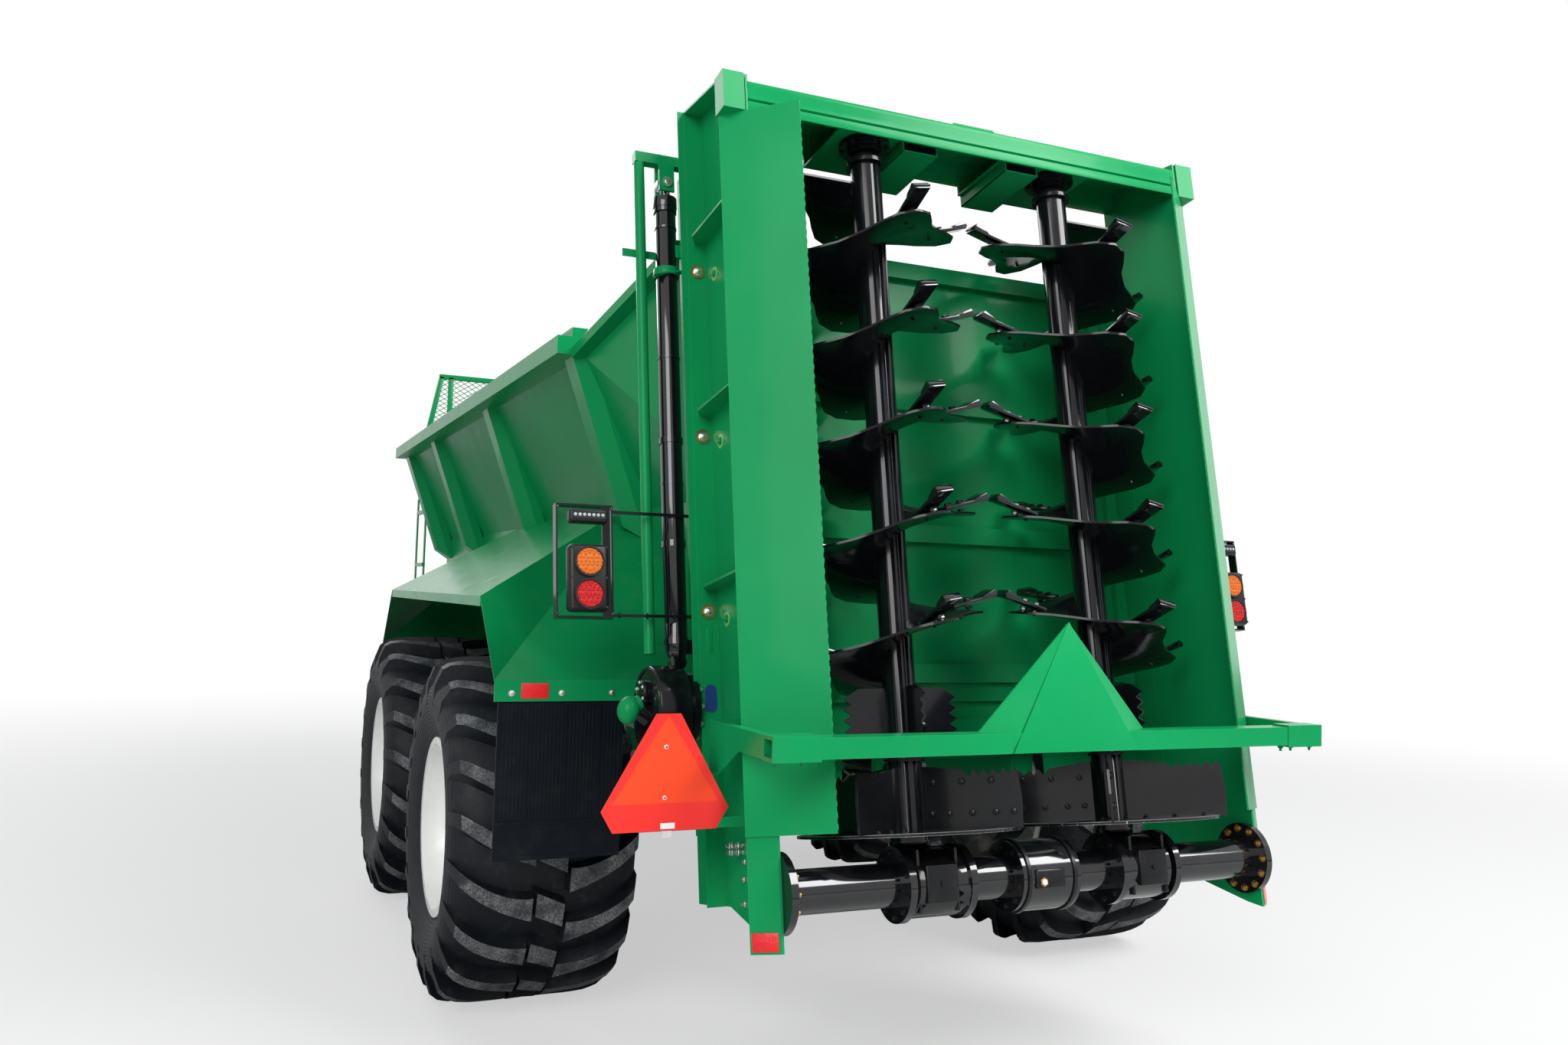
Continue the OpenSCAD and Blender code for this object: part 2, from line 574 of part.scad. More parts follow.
// Sliding door behind the beaters, with its rails, rubber strip and the arms that lift it
door_u = 552;
door_low = 452;
arm_w = 2506;
door_hw = post_in - 5.5;
module door() {
  color(green) leaning() {
    block([door_u + door_t - 6, -door_hw, door_low + 60], [door_u + door_t, door_hw, door_low + door_h]);
    for (w = [70, 620, 1160, door_h - 70])
      block([door_u, -door_hw, door_low + w], [door_u + door_t, door_hw, door_low + w + 70]);
    both() {
      block([door_u, door_hw - 50, door_low + 60], [door_u + door_t, door_hw, arm_w]);
      block([door_u, door_hw - 50, arm_w], [door_u + door_t, 1180, arm_w + 40]);
      translate([door_u + 20, 1160, arm_w - 1880]) cylinder(h = 1881, r = 20, $fn = 32);
      // plates that hold the eye of the lifting rod
      for (s = [-1, 1]) translate([door_u + 20, rod_y, 0]) difference() {
        block([s * 26 - 6, -30, -34 + eye_w], [s * 26 + 6, 30, arm_w + 1]);
        translate([-40, 0, eye_w]) rotate([0, 90, 0]) cylinder(h = 80, r = 15.05, $fn = 48);
      }
    }
    block([door_u + 26, -door_hw + 10, door_low], [door_u + 34, door_hw - 10, door_low + 80]);
  }
}
rod_y = 1060;
cyl_low = 720;
eye_w = arm_w - 78;
module door_rods() {
  color("silver") leaning() both() translate([door_u + 20, rod_y, 0]) {
    translate([0, 0, cyl_low + 70]) cylinder(h = eye_w - cyl_low - 90, r = 20, $fn = 48);
    translate([-18, 0, eye_w]) rotate([0, 90, 0]) difference() {
      cylinder(h = 36, r = 34, $fn = 48);
      translate([0, 0, -1]) cylinder(h = 38, r = 14.9, $fn = 48);
    }
    translate([-32, 0, eye_w]) rotate([0, 90, 0]) cylinder(h = 64, r = 15, $fn = 48);
  }
}
module door_cylinders() {
  color(black) leaning() both() {
    translate([door_u + 20, rod_y, cyl_low]) difference() {
      cylinder(h = eye_w - 60 - cyl_low, r = 40, $fn = 48);
      translate([0, 0, 60]) cylinder(h = 2000, r = 20.05, $fn = 48);
    }
    translate([door_u, rod_y, cyl_low - 20]) rotate([0, 90, 0]) cylinder(h = 40, r = 32, $fn = 48);
    for (w = [cyl_low + 20, 2125]) block([door_u - 10, post_out, w], [door_u + 6, rod_y - 20, w + 50]);
    // flat arm beside the guide pole
    block([door_u + 45.5, rod_y + 12, 2130], [door_u + 52, 1223, 2160]);
  }
}

// Fenders of folded sheet over the tandem wheels
fender_out = 1660;
fender_edge_z = 1628;
module fender() {
  a = [1168, fender_out, fender_edge_z];
  b = [2249, floor_hw, 2073];
  c = [4283, floor_hw, 2073];
  d = [3680, fender_out, fender_edge_z];
  e = [900, fender_out - 10, 1338];
  f = [900, floor_hw - 60, 1338];
  g = [3980, fender_out, 1332];
  h = [4640, floor_hw, 1338];
  color(green) at_foot() difference() {
    union() {
      folded([a, b, c, d, e, f, g, h],
        [[0, 3, 2], [0, 2, 1], [4, 0, 1], [4, 1, 5], [3, 6, 2], [6, 7, 2]],
        [0, 3, 6, 7, 2, 1, 5, 4], [0, 0, -7]);
      block([895, 1088, 1263], [903, fender_out - 11, 1337]);
      block([1172, fender_out - 7, 1590], [3676, fender_out - 1, fender_edge_z - 4]);
    }
    block([0, 0, 1200], [body_front, floor_hw + sheet + 0.3, 2200]);
    on_slope() block([0, -200, -1], [body_front, sheet + 0.3, 200]);
    for (x = ribs) plate_x(rib_outline(0.3), x - rib_w / 2 - 0.3, rib_w + 0.6);
  }
}
module fender_left() { fender(); }
module fender_right() { mirror([0, 1, 0]) fender(); }
module mudflaps() {
  color(black) at_foot() both() block([903.3, 1175, 707], [913, 1632, 1300]);
}

// Frames and lamps on stays from the housing
lamp_u = 486;
lamp_y = 1312;
lamp_top = 1131;
lamp_low = 737;
module lamp_frames() {
  color(black) leaning() both() {
    difference() {
      block([lamp_u, lamp_y, lamp_low], [lamp_u + 40, lamp_y + 200, lamp_top]);
      block([lamp_u - 1, lamp_y + 6, lamp_low + 6], [lamp_u + 41, lamp_y + 194, lamp_top - 6]);
    }
    block([lamp_u, lamp_y + 10, lamp_low + 5], [lamp_u + 6, lamp_y + 38, lamp_top - 5]);
    for (w = [lamp_low + 10, lamp_top - 20])
      block([lamp_u + 30, post_out + 0.3, w], [lamp_u + 40, lamp_y + 1, w + 10]);
  }
}
module lamps() {
  color(black) leaning() both() {
    block([lamp_u - 60, lamp_y + 32, 752], [lamp_u - 0.3, lamp_y + 170, 980]);
    for (w = [808, 919]) translate([lamp_u - 74, lamp_y + 101, w]) rotate([0, 90, 0]) cylinder(h = 16, r = 48, $fn = 64);
    block([lamp_u - 46, lamp_y + 30, 1058], [lamp_u - 0.3, lamp_y + 162, 1104]);
  }
}

// Slow-vehicle triangle on the bar of the left wall
module warning_triangle() {
  color("orangered") at_foot() translate([158, 1262, foot_z + 2])
    plate_x([[-168, 0], [168, 0], [206, 65], [40, 357], [-40, 357], [-206, 65]], 0, 2);
}

// Slats and chains of the scraper floor, and their rear shaft
module floor_chain() {
  color(black) at_foot() {
    for (x = [body_rear + 120 : 420 : body_front - 200])
      block([x, -floor_hw + 30, floor_z + 0.3], [x + 50, floor_hw - 30, floor_z + 32]);
    for (y = [-450, -150, 150, 450]) block([body_rear + 30, y - 9, floor_z + 0.3], [body_front - 120, y + 9, floor_z + 22]);
  }
}
drive_u = 520;
drive_w = 496;
module floor_drive() {
  color(black) leaning() translate([drive_u, 0, drive_w]) rotate([-90, 0, 0]) {
    translate([0, 0, post_out + 0.3]) cylinder(h = 70, r = 45, $fn = 48);
    translate([0, 0, wall_hw + lip_w + 1]) cylinder(h = 36, r = 140, $fn = 64);
    translate([0, 0, wall_hw + lip_w + 36]) cylinder(h = 155, r = 90, $fn = 64);
    translate([0, 0, wall_hw + lip_w + 190]) cylinder(h = 50, r = 45, $fn = 48);
  }
}

// Ladder at the front left corner
step_x = body_front + 0.3;
rail_gap = 450;
module ladder() {
  color(green) at_foot() {
    for (x = [step_x, step_x + rail_gap]) {
      block([x, 945, 1300], [x + 47, 957, 2400]);
      plate_x([[945, 2395], [957, 2395], [909, 2497], [897, 2497]], x, 47);
    }
    for (z = [1361, 1813, 2265]) block([step_x + 40, 938, z], [step_x + rail_gap + 5, 964, z + 30]);
    block([step_x, 903, 2440], [step_x + rail_gap + 47, 915, 2480]);
  }
}

// Parking jack on the drawbar
jack_x = nose_x - 520;
jack_y = 330;
// Outer face of the slanting drawbar beam
function beam_y(x) = rail_y - (x - vee_x) * tan(vee_angle) + 45 / cos(vee_angle);
module jack_tube() {
  color(black) at_foot() {
    difference() {
      block([jack_x - 50, jack_y - 50, 460], [jack_x + 50, jack_y + 50, 1150]);
      block([jack_x - 42, jack_y - 42, 459], [jack_x + 42, jack_y + 42, 1142]);
    }
    plate_z([[jack_x - 40, beam_y(jack_x - 40) + 0.3], [jack_x + 40, beam_y(jack_x + 40) + 0.3],
      [jack_x + 40, jack_y - 49], [jack_x - 40, jack_y - 49]], ring_z - 60, 120);
  }
}
module jack_leg() {
  color("silver") at_foot() {
    block([jack_x - 41.5, jack_y - 41.5, 12], [jack_x + 41.5, jack_y + 41.5, 830]);
    block([jack_x - 130, jack_y - 110, 0], [jack_x + 130, jack_y + 110, 12]);
  }
}

// Guarded joint shaft from the drive shaft along the frame down to the middle gearbox
line_z = 965;
line_r = 28;
line_x = 770;
knuckle = 40;
module rear_shaft() {
  u = stub_u + knuckle + 0.3;
  low = [u * cos(lean) + tube_w * sin(lean), 0, foot_z - u * sin(lean) + tube_w * cos(lean)];
  high = [line_x - knuckle - 0.3, 0, line_z];
  way = (high - low) / norm(high - low);
  color(black) at_foot() {
    for (p = [low, high]) translate(p) sphere(r = knuckle, $fn = 48);
    bar(low, high, 26);
    bar(low + 70 * way, high - 70 * way, 46);
    bar(low + 50 * way, low + 125 * way, 62);
    bar(high - 125 * way, high - 50 * way, 62);
  }
}

// Drive shaft along the frame, its stub open to the tractor
stub_r = 17.45;
module line_shaft() {
  color(black) at_foot() translate([0, 0, line_z]) rotate([0, 90, 0]) {
    translate([0, 0, line_x]) cylinder(h = body_front + 60 - line_x, r = line_r, $fn = 48);
    translate([0, 0, body_front + 59]) cylinder(h = 101, r = stub_r, $fn = 48);
  }
}

chassis();
drawbar();
towing_ring();
axles();
springs();
rim_rear_left();
rim_rear_right();
rim_front_left();
rim_front_right();
tyre_rear_left();
tyre_rear_right();
tyre_front_left();
tyre_front_right();
hopper_floor();
hopper_side_left();
hopper_side_right();
headboard();
front_guard();
rear_frame();
housing_wall_left();
housing_wall_right();
deflector_panels();
top_beam();
rear_bar();
gearbox_beam();
beater_left();
beater_right();
flight_left();
flight_right();
blades_left();
blades_right();
door();
door_rods();
door_cylinders();
fender_left();
fender_right();
mudflaps();
lamp_frames();
lamps();
warning_triangle();
floor_chain();
floor_drive();
ladder();
jack_tube();
jack_leg();
rear_shaft();
line_shaft();
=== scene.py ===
import json
import math
import bmesh
import bpy
from mathutils import Matrix, Vector


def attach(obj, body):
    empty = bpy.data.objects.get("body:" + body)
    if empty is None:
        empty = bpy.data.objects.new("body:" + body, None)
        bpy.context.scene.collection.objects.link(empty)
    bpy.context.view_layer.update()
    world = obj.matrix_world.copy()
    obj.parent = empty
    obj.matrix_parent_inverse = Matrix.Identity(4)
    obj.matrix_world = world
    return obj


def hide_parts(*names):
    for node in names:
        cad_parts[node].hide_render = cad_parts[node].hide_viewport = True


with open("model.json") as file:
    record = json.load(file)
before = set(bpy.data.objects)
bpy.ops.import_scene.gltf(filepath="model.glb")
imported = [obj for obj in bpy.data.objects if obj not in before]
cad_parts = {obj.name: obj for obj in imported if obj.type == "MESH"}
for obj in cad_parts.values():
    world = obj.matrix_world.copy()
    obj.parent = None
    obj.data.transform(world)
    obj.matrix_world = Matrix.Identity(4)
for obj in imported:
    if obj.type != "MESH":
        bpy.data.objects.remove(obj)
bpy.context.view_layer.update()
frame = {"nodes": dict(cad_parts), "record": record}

nodes = frame["nodes"]
print("frame loaded:", len(nodes), "nodes")

# camera, lights and floor
cameraSet = {
    "place": (-8.0069, 2.5609, 1.6671),
    "yawRight": 0.4237,  # turned right of straight ahead
    "pitchUp": 0.0567,
    "roll": 0.0291,
    "lens": 28.91, "sensor": 36, "clipEnd": 300,
}


def makeCamera():
    yaw, pitch, roll = cameraSet["yawRight"], cameraSet["pitchUp"], cameraSet["roll"]
    ahead = Vector((math.cos(pitch) * math.cos(yaw), -math.cos(pitch) * math.sin(yaw), math.sin(pitch)))
    right = Vector((-math.sin(yaw), -math.cos(yaw), 0))
    up = right.cross(ahead)
    turnedRight = right * math.cos(roll) + up * math.sin(roll)
    turnedUp = up * math.cos(roll) - right * math.sin(roll)
    camera = bpy.data.objects.new("camera", bpy.data.cameras.new("camera"))
    camera.data.lens = cameraSet["lens"]
    camera.data.sensor_width = cameraSet["sensor"]
    camera.data.clip_end = cameraSet["clipEnd"]
    turn = Matrix((turnedRight, turnedUp, -ahead)).transposed().to_4x4()
    camera.matrix_world = Matrix.Translation(cameraSet["place"]) @ turn
    bpy.context.scene.collection.objects.link(camera)
    bpy.context.scene.camera = camera


makeCamera()

lightSet = {
    "sky": 0.32, "skyColour": (0.93, 0.96, 1, 1),
    "keyPlace": (-11.0, -6.0, 11.0), "keySize": 7.0, "keyPower": 2500,
    "fillPlace": (-11.0, 7.0, 6.5), "fillSize": 6.0, "fillPower": 720,
    "frontPlace": (9.0, 3.0, 9.0), "frontSize": 7.0, "frontPower": 600,
    "aim": (-2.5, 0, 1.4),
}


def makeLamp(name):
    data = bpy.data.lights.new(name, "AREA")
    data.size = lightSet[name + "Size"]
    data.energy = lightSet[name + "Power"]
    lamp = bpy.data.objects.new(name, data)
    lamp.location = lightSet[name + "Place"]
    lamp.rotation_euler = (Vector(lightSet["aim"]) - lamp.location).to_track_quat("-Z", "Y").to_euler()
    bpy.context.scene.collection.objects.link(lamp)


for lampName in ("key", "fill", "front"):
    makeLamp(lampName)


# short names for the shader nodes that come back often
def put(tree, kind, settings=None, **sockets):  # i0 and i1 are sockets by number, other names are labels
    node = tree.nodes.new(kind)
    for key, value in (settings or {}).items():
        setattr(node, key, value)
    for key, value in sockets.items():
        numbered = key[0] == "i" and key[1:].isdigit()
        socket = node.inputs[int(key[1:]) if numbered else key.replace("_", " ")]
        if isinstance(value, bpy.types.NodeSocket):
            tree.links.new(value, socket)
        else:
            socket.default_value = value
    return node


def maths(tree, operation, a, b=0.0, clamp=False):
    return put(tree, "ShaderNodeMath", {"operation": operation, "use_clamp": clamp}, i0=a, i1=b).outputs[0]


def ramp(tree, value, start, end, first=0.0, last=1.0, kind="LINEAR"):
    node = put(tree, "ShaderNodeMapRange", {"interpolation_type": kind}, i0=value, i1=start, i2=end, i3=first, i4=last)
    return node.outputs[0]


def noise(tree, place, scale, detail, rough=0.5):
    return put(tree, "ShaderNodeTexNoise", Vector=place, Scale=scale, Detail=detail, Roughness=rough).outputs[0]


def mixColour(tree, share, a, b):
    return put(tree, "ShaderNodeMix", {"data_type": "RGBA"}, i0=share, i6=a, i7=b).outputs[2]


def scaled(tree, colour, factor):
    return put(tree, "ShaderNodeVectorMath", {"operation": "SCALE"}, i0=colour, Scale=factor).outputs[0]


def ownPlace(tree):
    return put(tree, "ShaderNodeTexCoord").outputs["Object"]


def makeWorld():  # soft light on the object, white to the eye, in metal and through glass
    world = bpy.data.worlds.new("studio")
    world.use_nodes = True
    tree = world.node_tree
    tree.nodes.clear()
    soft = put(tree, "ShaderNodeBackground", Color=lightSet["skyColour"], Strength=lightSet["sky"])
    white = put(tree, "ShaderNodeBackground", Color=(1, 1, 1, 1), Strength=1.0)
    ray = put(tree, "ShaderNodeLightPath").outputs
    seen = maths(tree, "MAXIMUM", ray["Is Camera Ray"], ray["Is Glossy Ray"])
    share = maths(tree, "MAXIMUM", seen, ray["Is Transmission Ray"])
    both = put(tree, "ShaderNodeMixShader", i0=share, i1=soft.outputs[0], i2=white.outputs[0])
    put(tree, "ShaderNodeOutputWorld", Surface=both.outputs[0])
    bpy.context.scene.world = world


floorSet = {"radius": 60, "sides": 96, "drop": 0.002, "grey": (0.62, 0.62, 0.62, 1),
            "fadeStart": 4.0, "fadeEnd": 13.0, "fadeFirst": 0.55}


def makeFloor():  # pale near the wheels, white to the camera farther out
    bm = bmesh.new()
    bmesh.ops.create_circle(bm, cap_ends=True, segments=floorSet["sides"], radius=floorSet["radius"])
    mesh = bpy.data.meshes.new("floor")
    bm.to_mesh(mesh)
    bm.free()
    floor = bpy.data.objects.new("floor", mesh)
    floor.location = (0, 0, -floorSet["drop"])
    bpy.context.scene.collection.objects.link(floor)
    material = bpy.data.materials.new("paleFloor")
    material.use_nodes = True
    tree = material.node_tree
    tree.nodes.clear()
    far = put(tree, "ShaderNodeVectorMath", {"operation": "LENGTH"}, i0=ownPlace(tree)).outputs["Value"]
    fade = ramp(tree, far, floorSet["fadeStart"], floorSet["fadeEnd"], floorSet["fadeFirst"], kind="SMOOTHSTEP")
    share = maths(tree, "MULTIPLY", fade, put(tree, "ShaderNodeLightPath").outputs["Is Camera Ray"])
    pale = put(tree, "ShaderNodeBsdfDiffuse", Color=floorSet["grey"])
    white = put(tree, "ShaderNodeEmission", Color=(1, 1, 1, 1), Strength=1.0)
    both = put(tree, "ShaderNodeMixShader", i0=share, i1=pale.outputs[0], i2=white.outputs[0])
    put(tree, "ShaderNodeOutputMaterial", Surface=both.outputs[0])
    mesh.materials.append(material)


makeWorld()
makeFloor()
bpy.context.scene.view_settings.view_transform = "Standard"
print("camera, lights and floor done")


# materials
def newGroup(name, inputs, outputs):
    tree = bpy.data.node_groups.new(name, "ShaderNodeTree")
    kinds = {"float": "NodeSocketFloat", "colour": "NodeSocketColor"}
    for label, kind, value in inputs:
        tree.interface.new_socket(name=label, in_out="INPUT", socket_type=kinds[kind]).default_value = value
    for label, kind in outputs:
        tree.interface.new_socket(name=label, in_out="OUTPUT", socket_type=kinds[kind])
    return tree, tree.nodes.new("NodeGroupInput").outputs, tree.nodes.new("NodeGroupOutput").inputs


skinSet = {"dustColour": (0.30, 0.27, 0.22, 1), "dustTop": 1.5, "dustFull": 0.2,  # heights of the low dust
           "edgeRadius": 0.004, "waveDepth": 0.0016, "peelDepth": 0.00001}


def makePaintSkin():  # sprayed paint on sheet metal: waves, orange peel, paler edges (rubbed wear and painted highlight), dust low down
    tree, given, result = newGroup("paintSkin", [
        ("Colour", "colour", (0.01, 0.2, 0.05, 1)), ("Edge colour", "colour", (0.1, 0.4, 0.2, 1)),
        ("Edge amount", "float", 0.5), ("Wave", "float", 1.0), ("Dust", "float", 0.3), ("Roughness", "float", 0.12),
    ], [("Colour", "colour"), ("Roughness", "float"), ("Height", "float")])
    place = ownPlace(tree)
    broad = noise(tree, place, 1.1, 2.0)
    peel = noise(tree, place, 220.0, 1.0)
    patch = noise(tree, place, 9.0, 6.0, 0.65)
    slow = noise(tree, place, 5.0, 1.0)
    normal = put(tree, "ShaderNodeNewGeometry").outputs["Normal"]
    rounded = put(tree, "ShaderNodeBevel", {"samples": 4}, Radius=skinSet["edgeRadius"]).outputs[0]
    bent = put(tree, "ShaderNodeVectorMath", {"operation": "DOT_PRODUCT"}, i0=normal, i1=rounded).outputs["Value"]
    edge = ramp(tree, bent, 0.995, 0.86)
    # paler edges in rubbed patches: partly wear, partly a painted highlight along the edges
    rubbed = maths(tree, "MULTIPLY", edge, maths(tree, "MULTIPLY", given["Edge amount"], patch))
    toned = scaled(tree, given["Colour"], ramp(tree, broad, 0.3, 0.7, 0.9, 1.1))
    wornAndHighlit = mixColour(tree, rubbed, toned, given["Edge colour"])
    height = put(tree, "ShaderNodeSeparateXYZ", i0=place).outputs[2]
    facing = put(tree, "ShaderNodeSeparateXYZ", i0=normal).outputs[2]
    low = ramp(tree, height, skinSet["dustTop"], skinSet["dustFull"])
    upward = ramp(tree, facing, 0.3, 1.0, 0.15, 1.0)
    specks = maths(tree, "MULTIPLY", given["Dust"], ramp(tree, patch, 0.5, 0.78))
    dusty = maths(tree, "MULTIPLY", specks, maths(tree, "MAXIMUM", low, upward))
    tree.links.new(mixColour(tree, dusty, wornAndHighlit, skinSet["dustColour"]), result["Colour"])
    rough = maths(tree, "ADD", given["Roughness"], maths(tree, "MULTIPLY", patch, 0.08))
    tree.links.new(maths(tree, "ADD", rough, maths(tree, "MULTIPLY", dusty, 0.5), True), result["Roughness"])
    waves = maths(tree, "MULTIPLY", maths(tree, "MULTIPLY", slow, given["Wave"]), skinSet["waveDepth"])
    fine = maths(tree, "MULTIPLY", peel, skinSet["peelDepth"])
    tree.links.new(maths(tree, "ADD", waves, fine), result["Height"])
    return tree


paintSkin = makePaintSkin()


def newMaterial(name, **shader):
    material = bpy.data.materials.new(name)
    material.use_nodes = True
    tree = material.node_tree
    body = tree.nodes["Principled BSDF"]
    for key, value in shader.items():
        body.inputs[key.replace("_", " ")].default_value = value
    return material, tree, body.inputs


def bumped(tree, body, height):
    bump = put(tree, "ShaderNodeBump", Strength=1.0, Distance=1.0, Height=height)
    tree.links.new(bump.outputs[0], body["Normal"])


# the edge colour and its amount paint paler edges: rubbed wear together with a painted highlight
def paint(name, colour, edge, wearAndHighlight, wave, dust, rough, coat=0.1, shine=0.35):
    material, tree, body = newMaterial(name, Coat_Weight=coat, Coat_Roughness=0.06, Specular_IOR_Level=shine)
    skin = put(tree, "ShaderNodeGroup", {"node_tree": paintSkin}, Colour=(*colour, 1), Edge_colour=(*edge, 1),
               Edge_amount=wearAndHighlight, Wave=wave, Dust=dust, Roughness=rough).outputs
    tree.links.new(skin["Colour"], body["Base Color"])
    tree.links.new(skin["Roughness"], body["Roughness"])
    bumped(tree, body, skin["Height"])
    return material


def metal(name, colour, rough):  # bare or plated metal with dull patches
    material, tree, body = newMaterial(name, Metallic=1.0)
    patch = noise(tree, ownPlace(tree), 38.0, 5.0, 0.7)
    tree.links.new(scaled(tree, colour, ramp(tree, patch, 0.3, 0.75, 0.7, 1.1)), body["Base Color"])
    tree.links.new(maths(tree, "ADD", rough, maths(tree, "MULTIPLY", patch, 0.22)), body["Roughness"])
    bumped(tree, body, maths(tree, "MULTIPLY", patch, 0.00025))
    return material


def lens(name, colour, grid=260.0):  # moulded lens with small optics
    material, tree, body = newMaterial(name, Roughness=0.2, Coat_Weight=0.15, Specular_IOR_Level=0.3)
    cells = put(tree, "ShaderNodeTexVoronoi", Vector=ownPlace(tree), Scale=grid, Randomness=0.0).outputs[0]
    tree.links.new(scaled(tree, colour, ramp(tree, cells, 0.1, 0.6, 1.25, 0.6)), body["Base Color"])
    bumped(tree, body, maths(tree, "MULTIPLY", cells, 0.0006))
    return material


axleSet = {"rearX": -2.696195, "frontX": -0.816195, "y": 1.365, "z": 0.682}
sidewallSet = {"black": (0.006, 0.008, 0.011, 1), "dust": (0.10, 0.1, 0.095, 1),
               "ringStart": 0.60, "ringEnd": 0.57, "rings": 420.0}


def makeTyre(name, axleX):  # ringed black sidewall with a little dust
    material, tree, body = newMaterial(name, Specular_IOR_Level=0.2)
    place = ownPlace(tree)
    axle = (axleX, 0, axleSet["z"])
    moved = put(tree, "ShaderNodeVectorMath", {"operation": "SUBTRACT"}, i0=place, i1=axle).outputs[0]
    flat = put(tree, "ShaderNodeVectorMath", {"operation": "MULTIPLY"}, i0=moved, i1=(1, 0, 1)).outputs[0]
    radius = put(tree, "ShaderNodeVectorMath", {"operation": "LENGTH"}, i0=flat).outputs["Value"]
    patch = noise(tree, place, 14.0, 6.0, 0.65)
    grain = noise(tree, place, 180.0, 2.0)
    dusty = ramp(tree, patch, 0.52, 0.8, 0.0, 0.25)
    tree.links.new(mixColour(tree, dusty, sidewallSet["black"], sidewallSet["dust"]), body["Base Color"])
    tree.links.new(maths(tree, "ADD", 0.42, maths(tree, "MULTIPLY", patch, 0.3)), body["Roughness"])
    rings = maths(tree, "SINE", maths(tree, "MULTIPLY", radius, sidewallSet["rings"]))
    side = ramp(tree, radius, sidewallSet["ringStart"], sidewallSet["ringEnd"])
    raised = maths(tree, "MULTIPLY", maths(tree, "MULTIPLY", rings, side), 0.0006)
    bumped(tree, body, maths(tree, "ADD", raised, maths(tree, "MULTIPLY", grain, 0.0003)))
    return material


treadSet = {"grey": (0.022, 0.026, 0.032, 1), "rubbed": (0.05, 0.055, 0.06, 1), "speck": (0.24, 0.245, 0.245, 1)}


def makeTread():  # the rubbed grey tops of the lugs
    material, tree, body = newMaterial("wornTread", Specular_IOR_Level=0.2)
    place = ownPlace(tree)
    patch = noise(tree, place, 11.0, 7.0, 0.7)
    grain = noise(tree, place, 150.0, 4.0, 0.7)
    pale = mixColour(tree, ramp(tree, grain, 0.4, 0.62), treadSet["rubbed"], treadSet["speck"])
    tree.links.new(mixColour(tree, ramp(tree, patch, 0.36, 0.62), treadSet["grey"], pale), body["Base Color"])
    tree.links.new(maths(tree, "ADD", 0.5, maths(tree, "MULTIPLY", grain, 0.3)), body["Roughness"])
    bumped(tree, body, maths(tree, "MULTIPLY", grain, 0.0012))
    return material


deepBlack = (0.004, 0.0045, 0.006)
blackEdge = (0.05, 0.05, 0.055)
greenPaint = paint("greenPaint", (0.004, 0.25, 0.076), (0.05, 0.38, 0.16),
                   wearAndHighlight=0.5, wave=1.8, dust=0.06, rough=0.2, coat=0.03, shine=0.07)
paleGreen = paint("paleGreen", (0.16, 0.42, 0.12), (0.3, 0.5, 0.3),
                  wearAndHighlight=0.3, wave=0.2, dust=0.05, rough=0.3, coat=0.05, shine=0.2)
blackPaint = paint("blackPaint", deepBlack, blackEdge,
                   wearAndHighlight=0.5, wave=0.6, dust=0.05, rough=0.12, coat=0.06, shine=0.22)
beaterBlack = paint("beaterBlack", deepBlack, blackEdge,
                    wearAndHighlight=0.5, wave=0.02, dust=0.04, rough=0.14, coat=0.12, shine=0.28)
tubeBlack = paint("tubeBlack", deepBlack, blackEdge,
                  wearAndHighlight=0.5, wave=0.02, dust=0.04, rough=0.07, coat=0.4, shine=0.4)
castBlack = paint("castBlack", (0.005, 0.0055, 0.007), (0.06, 0.06, 0.065),
                  wearAndHighlight=0.6, wave=5.0, dust=0.08, rough=0.26, coat=0.05, shine=0.22)
rimPaint = paint("rimPaint", (0.83, 0.84, 0.82), (0.5, 0.47, 0.4),
                 wearAndHighlight=0.35, wave=0.3, dust=0.35, rough=0.22, coat=0.2, shine=0.4)
whitePaint = paint("whitePaint", (0.7, 0.7, 0.68), (0.5, 0.5, 0.45),
                   wearAndHighlight=0.2, wave=0.1, dust=0.1, rough=0.3, coat=0.2)
flapRubber = paint("flapRubber", (0.0025, 0.0045, 0.0075), (0.03, 0.035, 0.04),
                   wearAndHighlight=0.6, wave=0.8, dust=0.05, rough=0.45, coat=0.0, shine=0.1)
lampPlastic = paint("lampPlastic", (0.006, 0.0065, 0.007), (0.03, 0.03, 0.03),
                    wearAndHighlight=0.3, wave=0.1, dust=0.04, rough=0.32, coat=0.0, shine=0.25)
shaftPlastic = paint("shaftPlastic", (0.01, 0.01, 0.011), (0.05, 0.05, 0.05),
                     wearAndHighlight=0.4, wave=0.2, dust=0.4, rough=0.42, coat=0.0)
orangeSheet = paint("orangeSheet", (0.92, 0.07, 0.02), (1, 0.4, 0.3),
                    wearAndHighlight=0.3, wave=0.3, dust=0.05, rough=0.25, coat=0.2)
signOrange = paint("signOrange", (0.76, 0.052, 0.014), (1, 0.3, 0.2),
                   wearAndHighlight=0.2, wave=0.2, dust=0.03, rough=0.35, coat=0.0, shine=0.2)
signBorder = paint("signBorder", (0.72, 0.024, 0.018), (0.8, 0.1, 0.1),
                   wearAndHighlight=0.2, wave=0.2, dust=0.03, rough=0.25, coat=0.05, shine=0.2)
signLine = paint("signLine", (0.85, 0.55, 0.5), (1, 0.8, 0.75), wearAndHighlight=0.1, wave=0.1, dust=0.02, rough=0.3)
